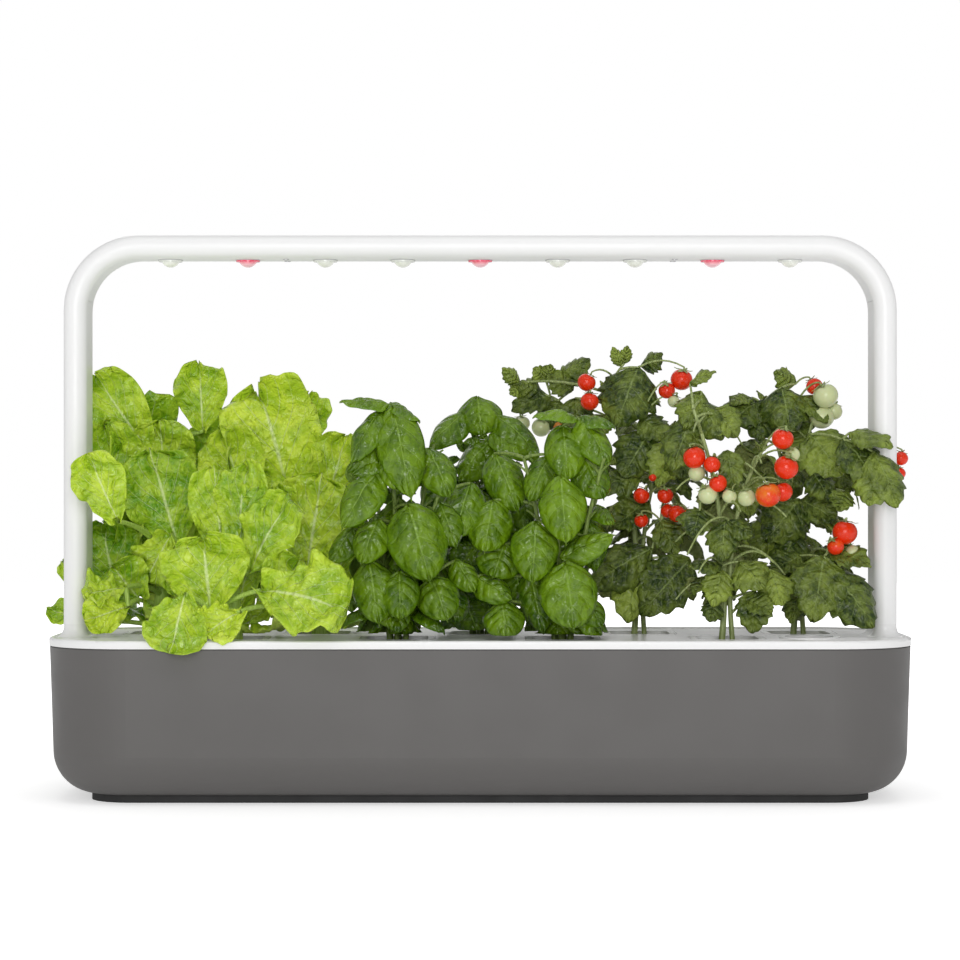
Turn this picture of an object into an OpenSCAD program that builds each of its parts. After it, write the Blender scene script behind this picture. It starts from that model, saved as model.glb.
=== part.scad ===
// Countertop hydroponic garden: a water tank under a planting tray, with nine
// plants in lift-out soil pods and an arched grow lamp on two plug-in arms.
// Millimetres, +Z up. The origin is the middle of the foot plate's underside,
// and the front faces -Y.

/* [Footprint] */
// Overall width of the planting tray
garden_w = 607; // [590:1:740]
// Overall depth of the planting tray
garden_d = 185; // [180:1:230]
// Plan corner radius of the planting tray
corner_r = 60.5; // [45:0.5:70]

/* [Tank] */
// Height of the tank's rim above the floor
rim_z = 108.5; // [95:0.5:140]
// Thickness of the tank's walls and floor
tank_wall = 3; // [2.4:0.1:4]
// Lean of the tank's side walls from upright, in degrees
wall_lean = 1.9; // [1:0.1:3]
// Radius between the tank's walls and its underside
tank_fillet = 30; // [20:1:34]
// How far the tank stands back from the tray's edge
tank_setback = 0.5; // [0.3:0.1:1.5]
// Height of the dark slot between tank and tray
shadow_gap = 0.8; // [0.4:0.1:1.2]
// Depth of that slot
shadow_depth = 1.4; // [0.8:0.1:1.6]

/* [Foot plate] */
// Height of the foot plate
foot_h = 5; // [3:0.5:8]
// How far the foot plate reaches past the flat of the tank's underside
foot_reach = 3; // [1:0.5:6]
// Thickness of the foot plate's skirt and ribs
foot_wall = 4; // [3:0.5:8]

/* [Tray] */
// Height of the tray's visible edge
tray_edge_h = 5.6; // [4.5:0.1:9]
// Radius along the tray's upper edge
tray_edge_r = 1.6; // [0.8:0.1:2.5]
// Depth of the shallow dish inside the tray's border
dish_depth = 1; // [0.5:0.1:1.4]
// Width of the tray's border
border_w = 5; // [4:0.5:8]
// Thickness of the tray's floor
tray_t = 2.6; // [2:0.1:3.5]
// Depth of the tongue that centres the tray in the tank
tongue_h = 6.5; // [4:0.5:10]
// Thickness of that tongue
tongue_t = 2; // [1.6:0.1:3]
// Room between the tongue and the tank
tongue_room = 0.5; // [0.3:0.1:1]
// Height of the stiffening ribs under the tray
rib_h = 6; // [4:0.5:8]
// Thickness of the stiffening ribs
rib_t = 1.8; // [1.2:0.1:2.5]

/* [Planting cups] */
// Distance between neighbouring cups along the tray
cup_pitch = 58; // [48:0.5:60]
// Distance of each row of cups from the middle
row_offset = 34; // [32:0.5:45]
// Width of a cup's flange
flange_w = 52; // [48:0.5:54]
// Thickness of a cup's flange
flange_t = 2; // [1.5:0.1:2.5]
// Corner radius of a cup's flange
flange_r = 10; // [9:0.5:13]
// Width of the seat that carries the flange
flange_seat = 3; // [2:0.5:4]
// Room round the flange
flange_room = 0.3; // [0.2:0.05:0.6]
// Room round a cup below its flange
cup_room = 0.5; // [0.3:0.1:1]
// Depth of a cup below the tray
cup_h = 52; // [40:1:64]
// Thickness of a cup's walls
cup_wall = 1.6; // [1.2:0.1:2.4]
// Lean of a cup's walls from upright, in degrees
cup_lean = 4; // [2:0.5:5]
// Width and thickness of a wick
wick = [12, 4];
// Length of a wick's grip inside its cup
wick_grip = 3; // [2:0.5:5]
// Room between a wick's lower end and the tank's floor
wick_room = 1; // [0.5:0.5:6]

/* [Soil pods] */
// How far the soil lies below the cup's flange
soil_drop = 5; // [1:0.5:6]
// Room between a pod and its cup
pod_room = 0.8; // [0.4:0.1:1.5]
// Height of a pod
pod_h = 39; // [30:1:50]

/* [Lamp and arms] */
// Thickness of the lamp and arm tube
tube_t = 16.5; // [14:0.5:20]
// Depth of the lamp and arm tube, front to back
tube_d = 44; // [38:0.5:50]
// Wall of the lamp and arm tube
tube_wall = 2.6; // [2:0.1:3]
// Distance of the arm's outer face from the tray's edge
arm_setback = 7; // [6:0.5:10]
// Height of the collar that stands on the tray round an arm
collar_h = 8.9; // [8.4:0.1:20]
// Length of an arm between its two seams
arm_l = 191; // [120:1:260]
// Radius of the foot that flares from the tray up to the arm
flare_r = 6.5; // [5:0.5:8]
// Length of the plugs at both ends of an arm
plug_l = 16; // [10:1:18]
// Room round a plug in its socket
plug_room = 0.25; // [0.15:0.05:0.5]
// Wall of a plug
plug_wall = 1.6; // [1.2:0.1:2]
// Thickness of the floor that closes the tray's arm socket
socket_floor = 1.6; // [1.2:0.1:2.5]
// Length of the lamp's straight legs above the arms
leg_l = 32; // [28:1:60]
// Radius of the lamp's bends on the inside
bend_r = 37; // [30:1:50]
// Width of the lamp's underside cover
cover_w = 26.5; // [20:0.5:27]
// Thickness of the lamp's underside cover
cover_t = 1.6; // [1.2:0.1:2]
// Room round the lamp's cover
cover_room = 0.2; // [0.1:0.05:0.4]
// Ledge that carries the cover
cover_ledge = 2.4; // [1.5:0.1:3.5]
// How far above the straight legs the cover ends on the bends
cover_rise = 7; // [1:0.5:12]

/* [Lights] */
// Distance between neighbouring lenses
led_pitch = 55.5; // [45:0.5:57]
// Diameter of a lens's foot
lens_d = 17; // [14:0.5:19]
// Thickness of a lens's foot
lens_foot = 1; // [0.6:0.1:1.5]
// Diameter of the dome
dome_d = 12.6; // [9:0.1:13]
// How far the dome stands below its foot
dome_h = 4; // [2:0.5:5.5]
// Diameter of the lens's barrel through the cover
barrel_d = 9; // [6:0.5:11]
// Thickness of the seal ring under a lens
seal_t = 0.5; // [0.3:0.1:0.8]
// Size of the circuit board: width and thickness
led_board = [18, 1.6];
// Length of the circuit board
led_board_l = 470; // [460:1:476]

/* [Float] */
// Diameter of the filling hole
fill_d = 38; // [30:1:44]
// Diameter of the float
float_d = 28; // [20:1:30]
// Height of the float
float_h = 16; // [10:1:20]
// Travel of the float
float_travel = 30; // [15:1:36]
// Diameter of the float's marker rod
rod_d = 5; // [4:0.5:7]
// Running room round the marker rod
rod_room = 0.08; // [0.03:0.01:0.1]

/* [Power inlet] */
// Width of the inlet's shroud
inlet_w = 16; // [14:0.5:24]
// Height of the inlet's shroud
inlet_h = 13; // [12:0.5:16]
// Diameter of the inlet's bore
inlet_bore = 5.5; // [5:0.1:6.5]
// Diameter of the inlet's centre pin
inlet_pin = 2.1; // [1.7:0.1:2.5]

/* [Hidden] */
$fn = 64;

// Any solid or void that only has to pass right through something reaches this far past it
past = 1;

// Corner axes of the plan: every edge outline is carried round these
axis_x = garden_w / 2 - corner_r;
axis_y = garden_d / 2 - corner_r;
tank_r = corner_r - tank_setback;

// Tank outline: a leaning wall that runs tangent into the round bottom edge
fillet_z = foot_h + tank_fillet;
fillet_x = tank_r - (rim_z - fillet_z) * tan(wall_lean) - tank_fillet / cos(wall_lean);
floor_z = foot_h + tank_wall;

// Tray levels
tray_top = rim_z + tray_edge_h;
dish_z = tray_top - dish_depth;
under_z = dish_z - tray_t;

// Cups: a zigzag of nine, odd ones at the back
cup_numbers = [1:9];
function cup_x(n) = (n - 5) * cup_pitch;
function cup_y(n) = n % 2 == 1 ? row_offset : -row_offset;
cup_w = flange_w - 2 * flange_seat;
cup_r = flange_r - flange_seat;
cup_top = dish_z;
cup_bottom = dish_z - cup_h;
cup_shrink = (cup_h - flange_t) * tan(cup_lean);

// Soil pods follow the cup's leaning walls
pod_top = cup_top - soil_drop;
pod_bottom = pod_top - pod_h;
function pod_half(z) = cup_w / 2 - (cup_top - z) * tan(cup_lean) - cup_wall - pod_room;

// Arms and lamp
arm_x = garden_w / 2 - arm_setback - tube_t / 2;
arm_z = dish_z + collar_h;
lamp_seam = arm_z + arm_l;
bend_x = arm_x - bend_r - tube_t / 2;
bend_z = lamp_seam + leg_l;
lamp_z = bend_z + bend_r;
socket_z = arm_z - plug_l - past;
led_numbers = [-4:4];
function is_red(n) = n == -3 || n == 0 || n == 3;
cover_hole = barrel_d + 2 * cover_room;
screw_x = 2.5 * led_pitch;
screw_y = cover_w / 3;
screw_d = 2.2;
screw_head_h = 0.6;
seal_rim = 0.4;
// Angle above a bend's lower end at which the cover starts, and the turns of its room and ledge
cover_start = asin(cover_rise / bend_r);
cover_room_turn = cover_room / bend_r * 180 / PI;
cover_ledge_turn = cover_ledge / bend_r * 180 / PI;

// The filling hole lies in the free front corner on the right
fill_x = cup_x(9);
fill_y = -row_offset;
guide_room = 0.3;
guide_wall = 1.6;
guide_floor = 2.4;
guide_lip = [2.5, 0.8];
guide_window = 9;
// Solid bands above and below the guide's windows
guide_band = 7;
guide_d = fill_d - 2 * guide_room;
guide_bottom = under_z - float_travel - float_h - 12;
float_low = guide_bottom + 4;
rod_l = 9;

// The electronics sit under the tray in the free place between two back cups
case_x = (cup_x(7) + cup_x(9)) / 2;
case_w = 2 * cup_pitch - cup_w - 18;
case_y = [4, garden_d / 2 - 26];
case_h = 13;
case_wall = 1.6;
board_room = 1;
board_t = 1.6;
// The inlet's block and its sleeve end just inside the tank's rear face
inlet_z = rim_z - inlet_h / 2 - 0.8;
inlet_mouth = garden_d / 2 - tank_setback - 1.5;
sleeve_d = inlet_bore + 3;
sleeve_room = 0.2;
sleeve_floor = 3;

// Contacts: distance of the two circuits from the middle, and the strips' thickness and width
circuit_y = 6;
strip = [1.2, 3];

// Plants
leaf_t = 1.2;
// Successive leaves turn by this much round their stem
golden = 137.5;
// Radius of every stem at its root
root_r = 4.6;
// A plant's own place: half its width along the tray, and its depth towards the middle
cell_half = cup_pitch - 3.5;
inner_half = row_offset - 4;

// ---------- shared outlines ----------

// Carries an outline, drawn outwards from the corner axis, round a rounded rectangle
module around(x, y) {
    for (flip_x = [0, 1], flip_y = [0, 1])
        mirror([flip_x, 0, 0]) mirror([0, flip_y, 0])
            translate([x, y, 0]) rotate_extrude(angle = 90) children();
    for (flip = [0, 1])
        mirror([0, flip, 0]) rotate([90, 0, 90])
            linear_extrude(2 * x, center = true) translate([y, 0]) children();
    for (flip = [0, 1])
        mirror([flip, 0, 0]) rotate([90, 0, 0])
            linear_extrude(2 * y, center = true) translate([x, 0]) children();
}

// The block between the four corner axes
module core(x, y, z0, z1) {
    translate([-x, -y, z0]) cube([2 * x, 2 * y, z1 - z0]);
}

module rounded_square(w, r) {
    square([w, w - 2 * r], center = true);
    square([w - 2 * r, w], center = true);
    for (x = [-1, 1], y = [-1, 1])
        translate([x, y] * (w / 2 - r)) circle(r);
}

module rounded_plate(w, r, z0, z1) {
    translate([0, 0, z0]) linear_extrude(z1 - z0) rounded_square(w, r);
}

// Cross-section of the lamp and arm tube, shrunk by a wall
module stadium(inset) {
    t = tube_t - 2 * inset;
    straight = tube_d - tube_t;
    square([t, straight], center = true);
    for (y = [-1, 1]) translate([0, y * straight / 2]) circle(t / 2);
}

module upright_tube(inset, z0, z1) {
    translate([0, 0, z0]) linear_extrude(z1 - z0) stadium(inset);
}

// Both sides of the garden, left one mirrored
module both_sides() {
    for (flip = [0, 1]) mirror([flip, 0, 0]) children();
}

// ---------- tank ----------

// Outline of the tank from the corner axis outwards: leaning wall, round bottom edge and floor
module tank_outline(inset, top) {
    r = tank_fillet - inset;
    intersection() {
        union() {
            polygon([
                [0, fillet_z - r],
                [fillet_x, fillet_z - r],
                [fillet_x + r * cos(wall_lean), fillet_z - r * sin(wall_lean)],
                [tank_r - (rim_z - top) * tan(wall_lean) - inset / cos(wall_lean), top],
                [0, top],
            ]);
            translate([fillet_x, fillet_z]) circle(r);
        }
        square([tank_r + past, top]);
    }
}

module tank_body(inset, top) {
    around(axis_x, axis_y) tank_outline(inset, top);
    core(axis_x, axis_y, foot_h + inset, top);
}

// The space that the power inlet needs through the tank's rear wall and the tray's tongue
module inlet_notch() {
    translate([case_x - inlet_w / 2 - 1, case_y[1], rim_z - inlet_h - 2])
        cube([inlet_w + 2, garden_d - case_y[1], inlet_h + 2]);
}

module tank() {
    color([0.4, 0.39, 0.38]) difference() {
        tank_body(0, rim_z);
        tank_body(tank_wall, rim_z + past);
        // the dark slot under the tray's edge
        around(axis_x, axis_y)
            translate([tank_r - shadow_depth, rim_z - shadow_gap])
                square([shadow_depth + past, shadow_gap + past]);
        inlet_notch();
    }
}

// Underside of the tank's support: a skirt with cross ribs
module foot_plate() {
    top_t = 2;
    r = fillet_x + foot_reach;
    color([0.17, 0.17, 0.17]) {
        around(axis_x, axis_y) translate([r - foot_wall, 0]) square([foot_wall, foot_h]);
        around(axis_x, axis_y) translate([0, foot_h - top_t]) square([r, top_t]);
        core(axis_x, axis_y, foot_h - top_t, foot_h);
        for (n = [-2:2])
            translate([n * axis_x / 2.5 - foot_wall / 2, -axis_y - r + foot_wall, 0])
                cube([foot_wall, 2 * (axis_y + r - foot_wall), foot_h]);
    }
}

// ---------- tray ----------

module tray_edge() {
    tongue_r = tank_r - tank_wall / cos(wall_lean) - tongue_h * tan(wall_lean) - tongue_room;
    polygon([
        [0, under_z],
        [tongue_r - tongue_t, under_z],
        [tongue_r - tongue_t, rim_z - tongue_h],
        [tongue_r, rim_z - tongue_h],
        [tongue_r, rim_z],
        [corner_r, rim_z],
        [corner_r, tray_top - tray_edge_r],
        [corner_r - tray_edge_r, tray_top],
        [corner_r - border_w + dish_depth, tray_top],
        [corner_r - border_w, dish_z],
        [0, dish_z],
    ]);
    translate([corner_r - tray_edge_r, tray_top - tray_edge_r]) circle(tray_edge_r);
}

// Socket for an arm, with a foot that flares out to meet the tray
module arm_socket_outside() {
    upright_tube(0, socket_z - socket_floor, arm_z);
    flare_z = dish_z + flare_r;
    difference() {
        union() {
            for (y = [-1, 1])
                translate([0, y * (tube_d - tube_t) / 2, dish_z - past])
                    cylinder(r = tube_t / 2 + flare_r, h = flare_r + past);
            translate([-tube_t / 2 - flare_r, -(tube_d - tube_t) / 2, dish_z - past])
                cube([tube_t + 2 * flare_r, tube_d - tube_t, flare_r + past]);
        }
        for (turn = [0, 180])
            rotate([0, 0, turn]) translate([0, (tube_d - tube_t) / 2, flare_z])
                rotate_extrude(angle = 180)
                    translate([tube_t / 2 + flare_r, 0]) circle(flare_r);
        for (x = [-1, 1])
            translate([x * (tube_t / 2 + flare_r), 0, flare_z]) rotate([90, 0, 0])
                cylinder(r = flare_r, h = tube_d - tube_t, center = true);
    }
}

module at_cups() {
    for (n = cup_numbers) translate([cup_x(n), cup_y(n), 0]) children();
}

// The seat of a cup: a pocket for its flange above a square hole
module cup_opening() {
    room = 2 * flange_room;
    rounded_plate(flange_w + room, flange_r + flange_room, cup_top - flange_t, cup_top + past);
    rounded_plate(cup_w + 2 * cup_room, cup_r + cup_room, cup_bottom, cup_top);
}

module tray() {
    seat_wall = 2;
    seat_h = 4;
    boss_wall = 4;
    boss_h = 3;
    // the stiffening rib runs from one arm socket to the other
    rib_x = arm_x - tube_t / 2 + past;
    color([0.94, 0.94, 0.94]) difference() {
        union() {
            around(axis_x, axis_y) tray_edge();
            core(axis_x, axis_y, under_z, dish_z);
            both_sides() translate([arm_x, 0, 0]) arm_socket_outside();
            at_cups() rounded_plate(flange_w + 2 * seat_wall, flange_r + seat_wall,
                                    cup_top - flange_t - seat_h, under_z + past);
            translate([-rib_x, -rib_t / 2, under_z - rib_h]) cube([2 * rib_x, rib_t, rib_h + past]);
            translate([fill_x, fill_y, under_z - boss_h])
                cylinder(d = fill_d + 2 * boss_wall, h = boss_h + past);
        }
        at_cups() cup_opening();
        both_sides() translate([arm_x, 0, 0]) upright_tube(tube_wall, socket_z, arm_z + past);
        translate([fill_x, fill_y, guide_bottom]) cylinder(d = fill_d, h = tray_top - guide_bottom);
        inlet_notch();
    }
}

// ---------- cups, wicks and pods ----------

// Square with round corners that narrows downwards at the cup's lean
module leaning_block(half, r, z_top, z_bottom) {
    drop = (z_top - z_bottom) * tan(cup_lean);
    c = half - r;
    around(c, c) polygon([[0, z_bottom], [r - drop, z_bottom], [r, z_top], [0, z_top]]);
    core(c, c, z_bottom, z_top);
}

module plant_cup(n) {
    slot_room = 0.3;
    inner = cup_w / 2 - cup_wall;
    color([0.92, 0.92, 0.91]) translate([cup_x(n), cup_y(n), 0]) difference() {
        union() {
            rounded_plate(flange_w, flange_r, cup_top - flange_t, cup_top);
            leaning_block(cup_w / 2, cup_r, cup_top, cup_bottom);
        }
        leaning_block(inner, cup_r - cup_wall, cup_top + past, cup_bottom + cup_wall);
        translate([0, 0, cup_bottom])
            cube([wick[0] + 2 * slot_room, wick[1] + 2 * slot_room, 4 * cup_wall], center = true);
    }
}

module wicks() {
    low = floor_z + wick_room;
    high = cup_bottom + cup_wall + wick_grip;
    color([0.85, 0.85, 0.82]) at_cups()
        translate([-wick[0] / 2, -wick[1] / 2, low]) cube([wick[0], wick[1], high - low]);
}

module soil_pod(n) {
    half = pod_half(pod_top);
    r = cup_r - cup_wall;
    color([0.2, 0.15, 0.11]) translate([cup_x(n), cup_y(n), 0])
        leaning_block(half, r, pod_top, pod_bottom);
}

// ---------- float ----------

// A tube with a lip on the tray, six tall windows and a floor that guides the rod
module float_guide() {
    window_h = under_z - guide_bottom - 2 * guide_band;
    color([0.9, 0.9, 0.9]) translate([fill_x, fill_y, 0]) difference() {
        union() {
            translate([0, 0, guide_bottom]) cylinder(d = guide_d, h = dish_z - guide_bottom);
            translate([0, 0, dish_z]) cylinder(d = fill_d + 2 * guide_lip[0], h = guide_lip[1]);
        }
        translate([0, 0, guide_bottom + guide_floor]) cylinder(d = guide_d - 2 * guide_wall, h = dish_z);
        translate([0, 0, guide_bottom - past])
            cylinder(d = rod_d + 2 * rod_room, h = guide_floor + 2 * past);
        for (turn = [0, 60, 120])
            rotate([0, 0, turn]) translate([0, 0, (guide_bottom + under_z) / 2])
                cube([fill_d + past, guide_window, window_h], center = true);
    }
}

module float() {
    pocket = 3;
    color([0.85, 0.2, 0.15]) translate([fill_x, fill_y, float_low]) {
        difference() {
            cylinder(d = float_d, h = float_h);
            translate([0, 0, float_h - pocket]) cylinder(d = float_d - 2 * pocket, h = pocket + past);
        }
        translate([0, 0, -rod_l]) cylinder(d = rod_d, h = rod_l + past);
    }
}

// ---------- electronics under the tray ----------

// A box that is open towards the tray, with the block that holds the inlet in the tank's notch
module control_case() {
    l = case_y[1] - case_y[0];
    low = under_z - case_h;
    color([0.88, 0.88, 0.88]) difference() {
        union() {
            translate([case_x - case_w / 2, case_y[0], low]) cube([case_w, l, case_h]);
            translate([case_x - inlet_w / 2, case_y[1] - past, inlet_z - inlet_h / 2])
                cube([inlet_w, inlet_mouth - case_y[1] + past, inlet_h]);
        }
        translate([case_x - case_w / 2 + case_wall, case_y[0] + case_wall, low + case_wall])
            cube([case_w - 2 * case_wall, l - 2 * case_wall, case_h]);
        translate([case_x, garden_d / 2, inlet_z]) rotate([90, 0, 0])
            cylinder(d = sleeve_d + 2 * sleeve_room, h = garden_d / 2 - case_y[1] + 3 * case_wall);
    }
}

// Circuit board with its driver block
module control_board() {
    edge = case_wall + board_room;
    driver = [20, 12, 6];
    low = under_z - case_h + case_wall;
    color([0.1, 0.4, 0.2]) {
        translate([case_x - case_w / 2 + edge, case_y[0] + edge, low])
            cube([case_w - 2 * edge, case_y[1] - case_y[0] - 2 * edge, board_t]);
        translate([case_x - driver[0] / 2, case_y[0] + driver[1], low]) cube(driver);
    }
}

module power_inlet() {
    depth = inlet_mouth - 0.5 - case_y[1];
    color([0.12, 0.12, 0.12]) translate([case_x, case_y[1], inlet_z]) rotate([-90, 0, 0]) difference() {
        cylinder(d = sleeve_d, h = depth);
        translate([0, 0, sleeve_floor]) cylinder(d = inlet_bore, h = depth);
    }
}

module inlet_pin_contact() {
    color([0.8, 0.7, 0.4]) translate([case_x, case_y[1] + sleeve_floor, inlet_z]) rotate([-90, 0, 0])
        cylinder(d = inlet_pin, h = 10);
}

// Two sprung pins on the socket's floor, one for each circuit
module socket_pins() {
    pad = [4, 0.7];
    tip = [2, 1];
    color([0.85, 0.7, 0.35]) for (y = [-circuit_y, circuit_y])
        translate([arm_x, y, socket_z]) {
            cylinder(d = pad[0], h = pad[1]);
            cylinder(d = tip[0], h = tip[1]);
        }
}

// ---------- arms ----------

module arm() {
    plug_inset = tube_wall + plug_room;
    difference() {
        union() {
            upright_tube(0, arm_z, lamp_seam);
            upright_tube(plug_inset, arm_z - plug_l, lamp_seam + plug_l);
        }
        upright_tube(plug_inset + plug_wall, arm_z - plug_l - past, lamp_seam + plug_l + past);
    }
}

module arm_left() {
    color([0.94, 0.94, 0.94]) translate([-arm_x, 0, 0]) arm();
}

module arm_right() {
    color([0.94, 0.94, 0.94]) translate([arm_x, 0, 0]) arm();
}

// Two flat strips that run the arm's whole length on the outer side of its bore
module arm_conductors() {
    bore = tube_t / 2 - tube_wall - plug_room - plug_wall;
    color([0.85, 0.7, 0.35]) for (y = [-circuit_y, circuit_y])
        translate([arm_x + bore - strip[0], y - strip[1] / 2, arm_z - plug_l])
            cube([strip[0], strip[1], arm_l + 2 * plug_l]);
}

// ---------- lamp ----------

// The arch that the lamp follows. Each bend is swept from the top down and stops at the angle start
// above its lower end; the children are the cross-section, outer side at +X
module lamp_arch(start) {
    both_sides()
        translate([bend_x, 0, bend_z]) rotate([90, 0, 0]) rotate([0, 0, 90]) mirror([0, 1, 0])
            rotate_extrude(angle = 90 - start) translate([bend_r + tube_t / 2, 0]) children();
    translate([0, 0, lamp_z + tube_t / 2]) rotate([0, -90, 0])
        linear_extrude(2 * bend_x, center = true) children();
}

module lamp_legs() {
    both_sides() translate([arm_x, 0, lamp_seam]) linear_extrude(bend_z - lamp_seam) children();
}

module cover_strip(w, t) {
    translate([-tube_t / 2, -w / 2]) square([t, w]);
}

module lamp_housing() {
    color([0.94, 0.94, 0.94]) difference() {
        union() {
            lamp_arch(0) stadium(0);
            lamp_legs() stadium(0);
        }
        lamp_arch(0) stadium(tube_wall);
        lamp_legs() stadium(tube_wall);
        both_sides() translate([arm_x, 0, 0]) upright_tube(tube_wall, lamp_seam - past, lamp_seam + past);
        lamp_arch(cover_start)
            translate([-past, 0]) cover_strip(cover_w + 2 * cover_room, cover_t + cover_room + past);
        lamp_arch(cover_start + cover_ledge_turn)
            cover_strip(cover_w - 2 * cover_ledge, tube_wall + past);
    }
}

module at_screws() {
    for (x = [-screw_x, screw_x], y = [-screw_y, screw_y]) translate([x, y, lamp_z]) children();
}

module lamp_cover() {
    color([0.86, 0.86, 0.87]) difference() {
        lamp_arch(cover_start + cover_room_turn) cover_strip(cover_w, cover_t);
        for (n = led_numbers)
            translate([n * led_pitch, 0, lamp_z - past]) cylinder(d = cover_hole, h = tube_t / 2);
        at_screws() translate([0, 0, -past])
            cylinder(d = screw_d + cover_room, h = cover_t + 2 * past);
    }
}

module led_strip() {
    color([0.9, 0.9, 0.88])
        translate([-led_board_l / 2, -led_board[0] / 2, lamp_z + cover_t + cover_room])
            cube([led_board_l, led_board[0], led_board[1]]);
}

module lens() {
    top = cover_t + cover_room;
    ball_r = (dome_d * dome_d / 4 + dome_h * dome_h) / (2 * dome_h);
    rotate_extrude() {
        translate([0, -seal_t]) square([barrel_d / 2, top + seal_t]);
        translate([0, -seal_t - lens_foot]) square([lens_d / 2, lens_foot]);
        intersection() {
            translate([0, ball_r - seal_t - lens_foot - dome_h]) circle(ball_r);
            translate([0, -2 * dome_h - lens_foot]) square([dome_d / 2, 2 * dome_h + lens_foot - seal_t]);
        }
    }
}

module white_lenses() {
    color([0.95, 0.94, 0.9]) for (n = led_numbers)
        if (!is_red(n)) translate([n * led_pitch, 0, lamp_z]) lens();
}

module red_lenses() {
    color([0.95, 0.45, 0.45]) for (n = led_numbers)
        if (is_red(n)) translate([n * led_pitch, 0, lamp_z]) lens();
}

module lens_seals() {
    color([0.3, 0.3, 0.3]) for (n = led_numbers)
        translate([n * led_pitch, 0, lamp_z - seal_t]) difference() {
            cylinder(d = lens_d + 2 * seal_rim, h = seal_t);
            translate([0, 0, -past]) cylinder(d = barrel_d + cover_room, h = 3 * past);
        }
}

module cover_screws() {
    color([0.7, 0.7, 0.72]) at_screws() translate([0, 0, -screw_head_h]) {
        cylinder(d = 2 * screw_d, h = screw_head_h);
        cylinder(d = screw_d, h = cover_t + screw_head_h);
    }
}

// Spring contacts that the arm's strips meet inside the right leg
module lamp_contacts() {
    t = 0.8;
    color([0.85, 0.7, 0.35]) for (y = [-circuit_y, circuit_y])
        translate([arm_x + tube_t / 2 - tube_wall - t, y - strip[1] / 2, lamp_seam + plug_l + past])
            cube([t, strip[1], 8]);
}

// Thin pad under the skin of the lamp's top
module touch_sensor() {
    t = 0.6;
    color([0.8, 0.6, 0.4]) translate([0, 0, lamp_z + tube_t - tube_wall - t]) cylinder(d = 22, h = t);
}

// ---------- plants ----------

// A point on a leaf's middle rib: it leaves the stem at angle rise and ends at angle fall
function rib(s, l, rise, fall) =
    let (a = rise + s * (fall - rise), r = l / ((fall - rise) * PI / 180))
    [r * (sin(a) - sin(rise)), 0, r * (cos(rise) - cos(a))];
function rib_normal(s, rise, fall) =
    let (a = rise + s * (fall - rise)) [-sin(a), 0, cos(a)];

// One leaf: rows along the rib, columns across it. It is widest where s to the power peak is a half,
// cupped by fold and waved by ruffle
module leaf(l, w, rise, fall, fold = 0.15, ruffle = 0, peak = 0.8, rows = 4, cols = 2) {
    function half(s) = w / 2 * (0.12 + 0.88 * sin(180 * pow(s, peak)));
    function at(i, j, side) =
        let (s = i / rows, v = 2 * j / cols - 1, y = v * half(s), n = rib_normal(s, rise, fall))
        rib(s, l, rise, fall) + [0, y, 0]
            + n * (fold * abs(y) + ruffle * abs(v) * sin(i * 150 + v * 90) - side * leaf_t);
    points = [for (side = [0, 1], i = [0:rows], j = [0:cols]) at(i, j, side)];
    per = (rows + 1) * (cols + 1);
    function id(side, i, j) = side * per + i * (cols + 1) + j;
    // two triangles for each four corners named in order
    function pair(a, b, c, d) = [[a, b, c], [a, c, d]];
    quads = concat(
        [for (i = [0:rows - 1], j = [0:cols - 1])
            pair(id(0, i + 1, j), id(0, i, j), id(0, i, j + 1), id(0, i + 1, j + 1))],
        [for (i = [0:rows - 1], j = [0:cols - 1])
            pair(id(1, i + 1, j), id(1, i + 1, j + 1), id(1, i, j + 1), id(1, i, j))],
        [for (i = [0:rows - 1]) pair(id(0, i, 0), id(0, i + 1, 0), id(1, i + 1, 0), id(1, i, 0))],
        [for (i = [0:rows - 1])
            pair(id(0, i + 1, cols), id(0, i, cols), id(1, i, cols), id(1, i + 1, cols))],
        [for (j = [0:cols - 1]) pair(id(0, 0, j + 1), id(0, 0, j), id(1, 0, j), id(1, 0, j + 1))],
        [for (j = [0:cols - 1])
            pair(id(0, rows, j), id(0, rows, j + 1), id(1, rows, j + 1), id(1, rows, j))]
    );
    polyhedron(points, [for (q = quads, f = q) f]);
}

// A round twig between two points
module twig(from, to, r0, r1) {
    hull() {
        translate(from) sphere(r0, $fn = 6);
        translate(to) sphere(r1, $fn = 6);
    }
}

// A point of the stem carries a leaf that points in direction turn
module leaf_at(p, turn) {
    translate(p) rotate([0, 0, turn]) children();
}

// Sets a plant on its pod: the flat underside of the stem's lowest facets lies on the soil
module on_pod(n, root_r) {
    translate([cup_x(n), cup_y(n), pod_top + root_r * cos(30)]) children();
}

// Room from a stem to the wall of its own place, along a direction: to the neighbours at the side,
// to the tray's edge on the outer side, and to an arm beside it, which takes some away
function reach(n, turn) =
    let (
        out = cup_y(n) > 0 ? sin(turn) : -sin(turn),
        arm_side = abs(cup_x(n)) > 3.5 * cup_pitch && cos(turn) * cup_x(n) > 0 && out < 0.35,
        side = arm_side ? arm_x - tube_t / 2 - abs(cup_x(n)) - 14 : cell_half,
        outer = garden_d / 2 - row_offset
    )
    min(side / max(abs(cos(turn)), 0.01), (out > 0 ? outer : inner_half) / max(abs(out), 0.01));

// A stem of height h bows sideways by sway; s runs from 0 at its foot to 1 at its top
function on_stem(s, h, sway) = [sway * sin(s * 180), 0, s * h];

module stem(h, r0, r1, sway, steps = 8) {
    for (i = [0:steps - 1]) {
        s0 = i / steps;
        s1 = (i + 1) / steps;
        twig(on_stem(s0, h, sway), on_stem(s1, h, sway), r0 + (r1 - r0) * s0, r0 + (r1 - r0) * s1);
    }
}

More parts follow.
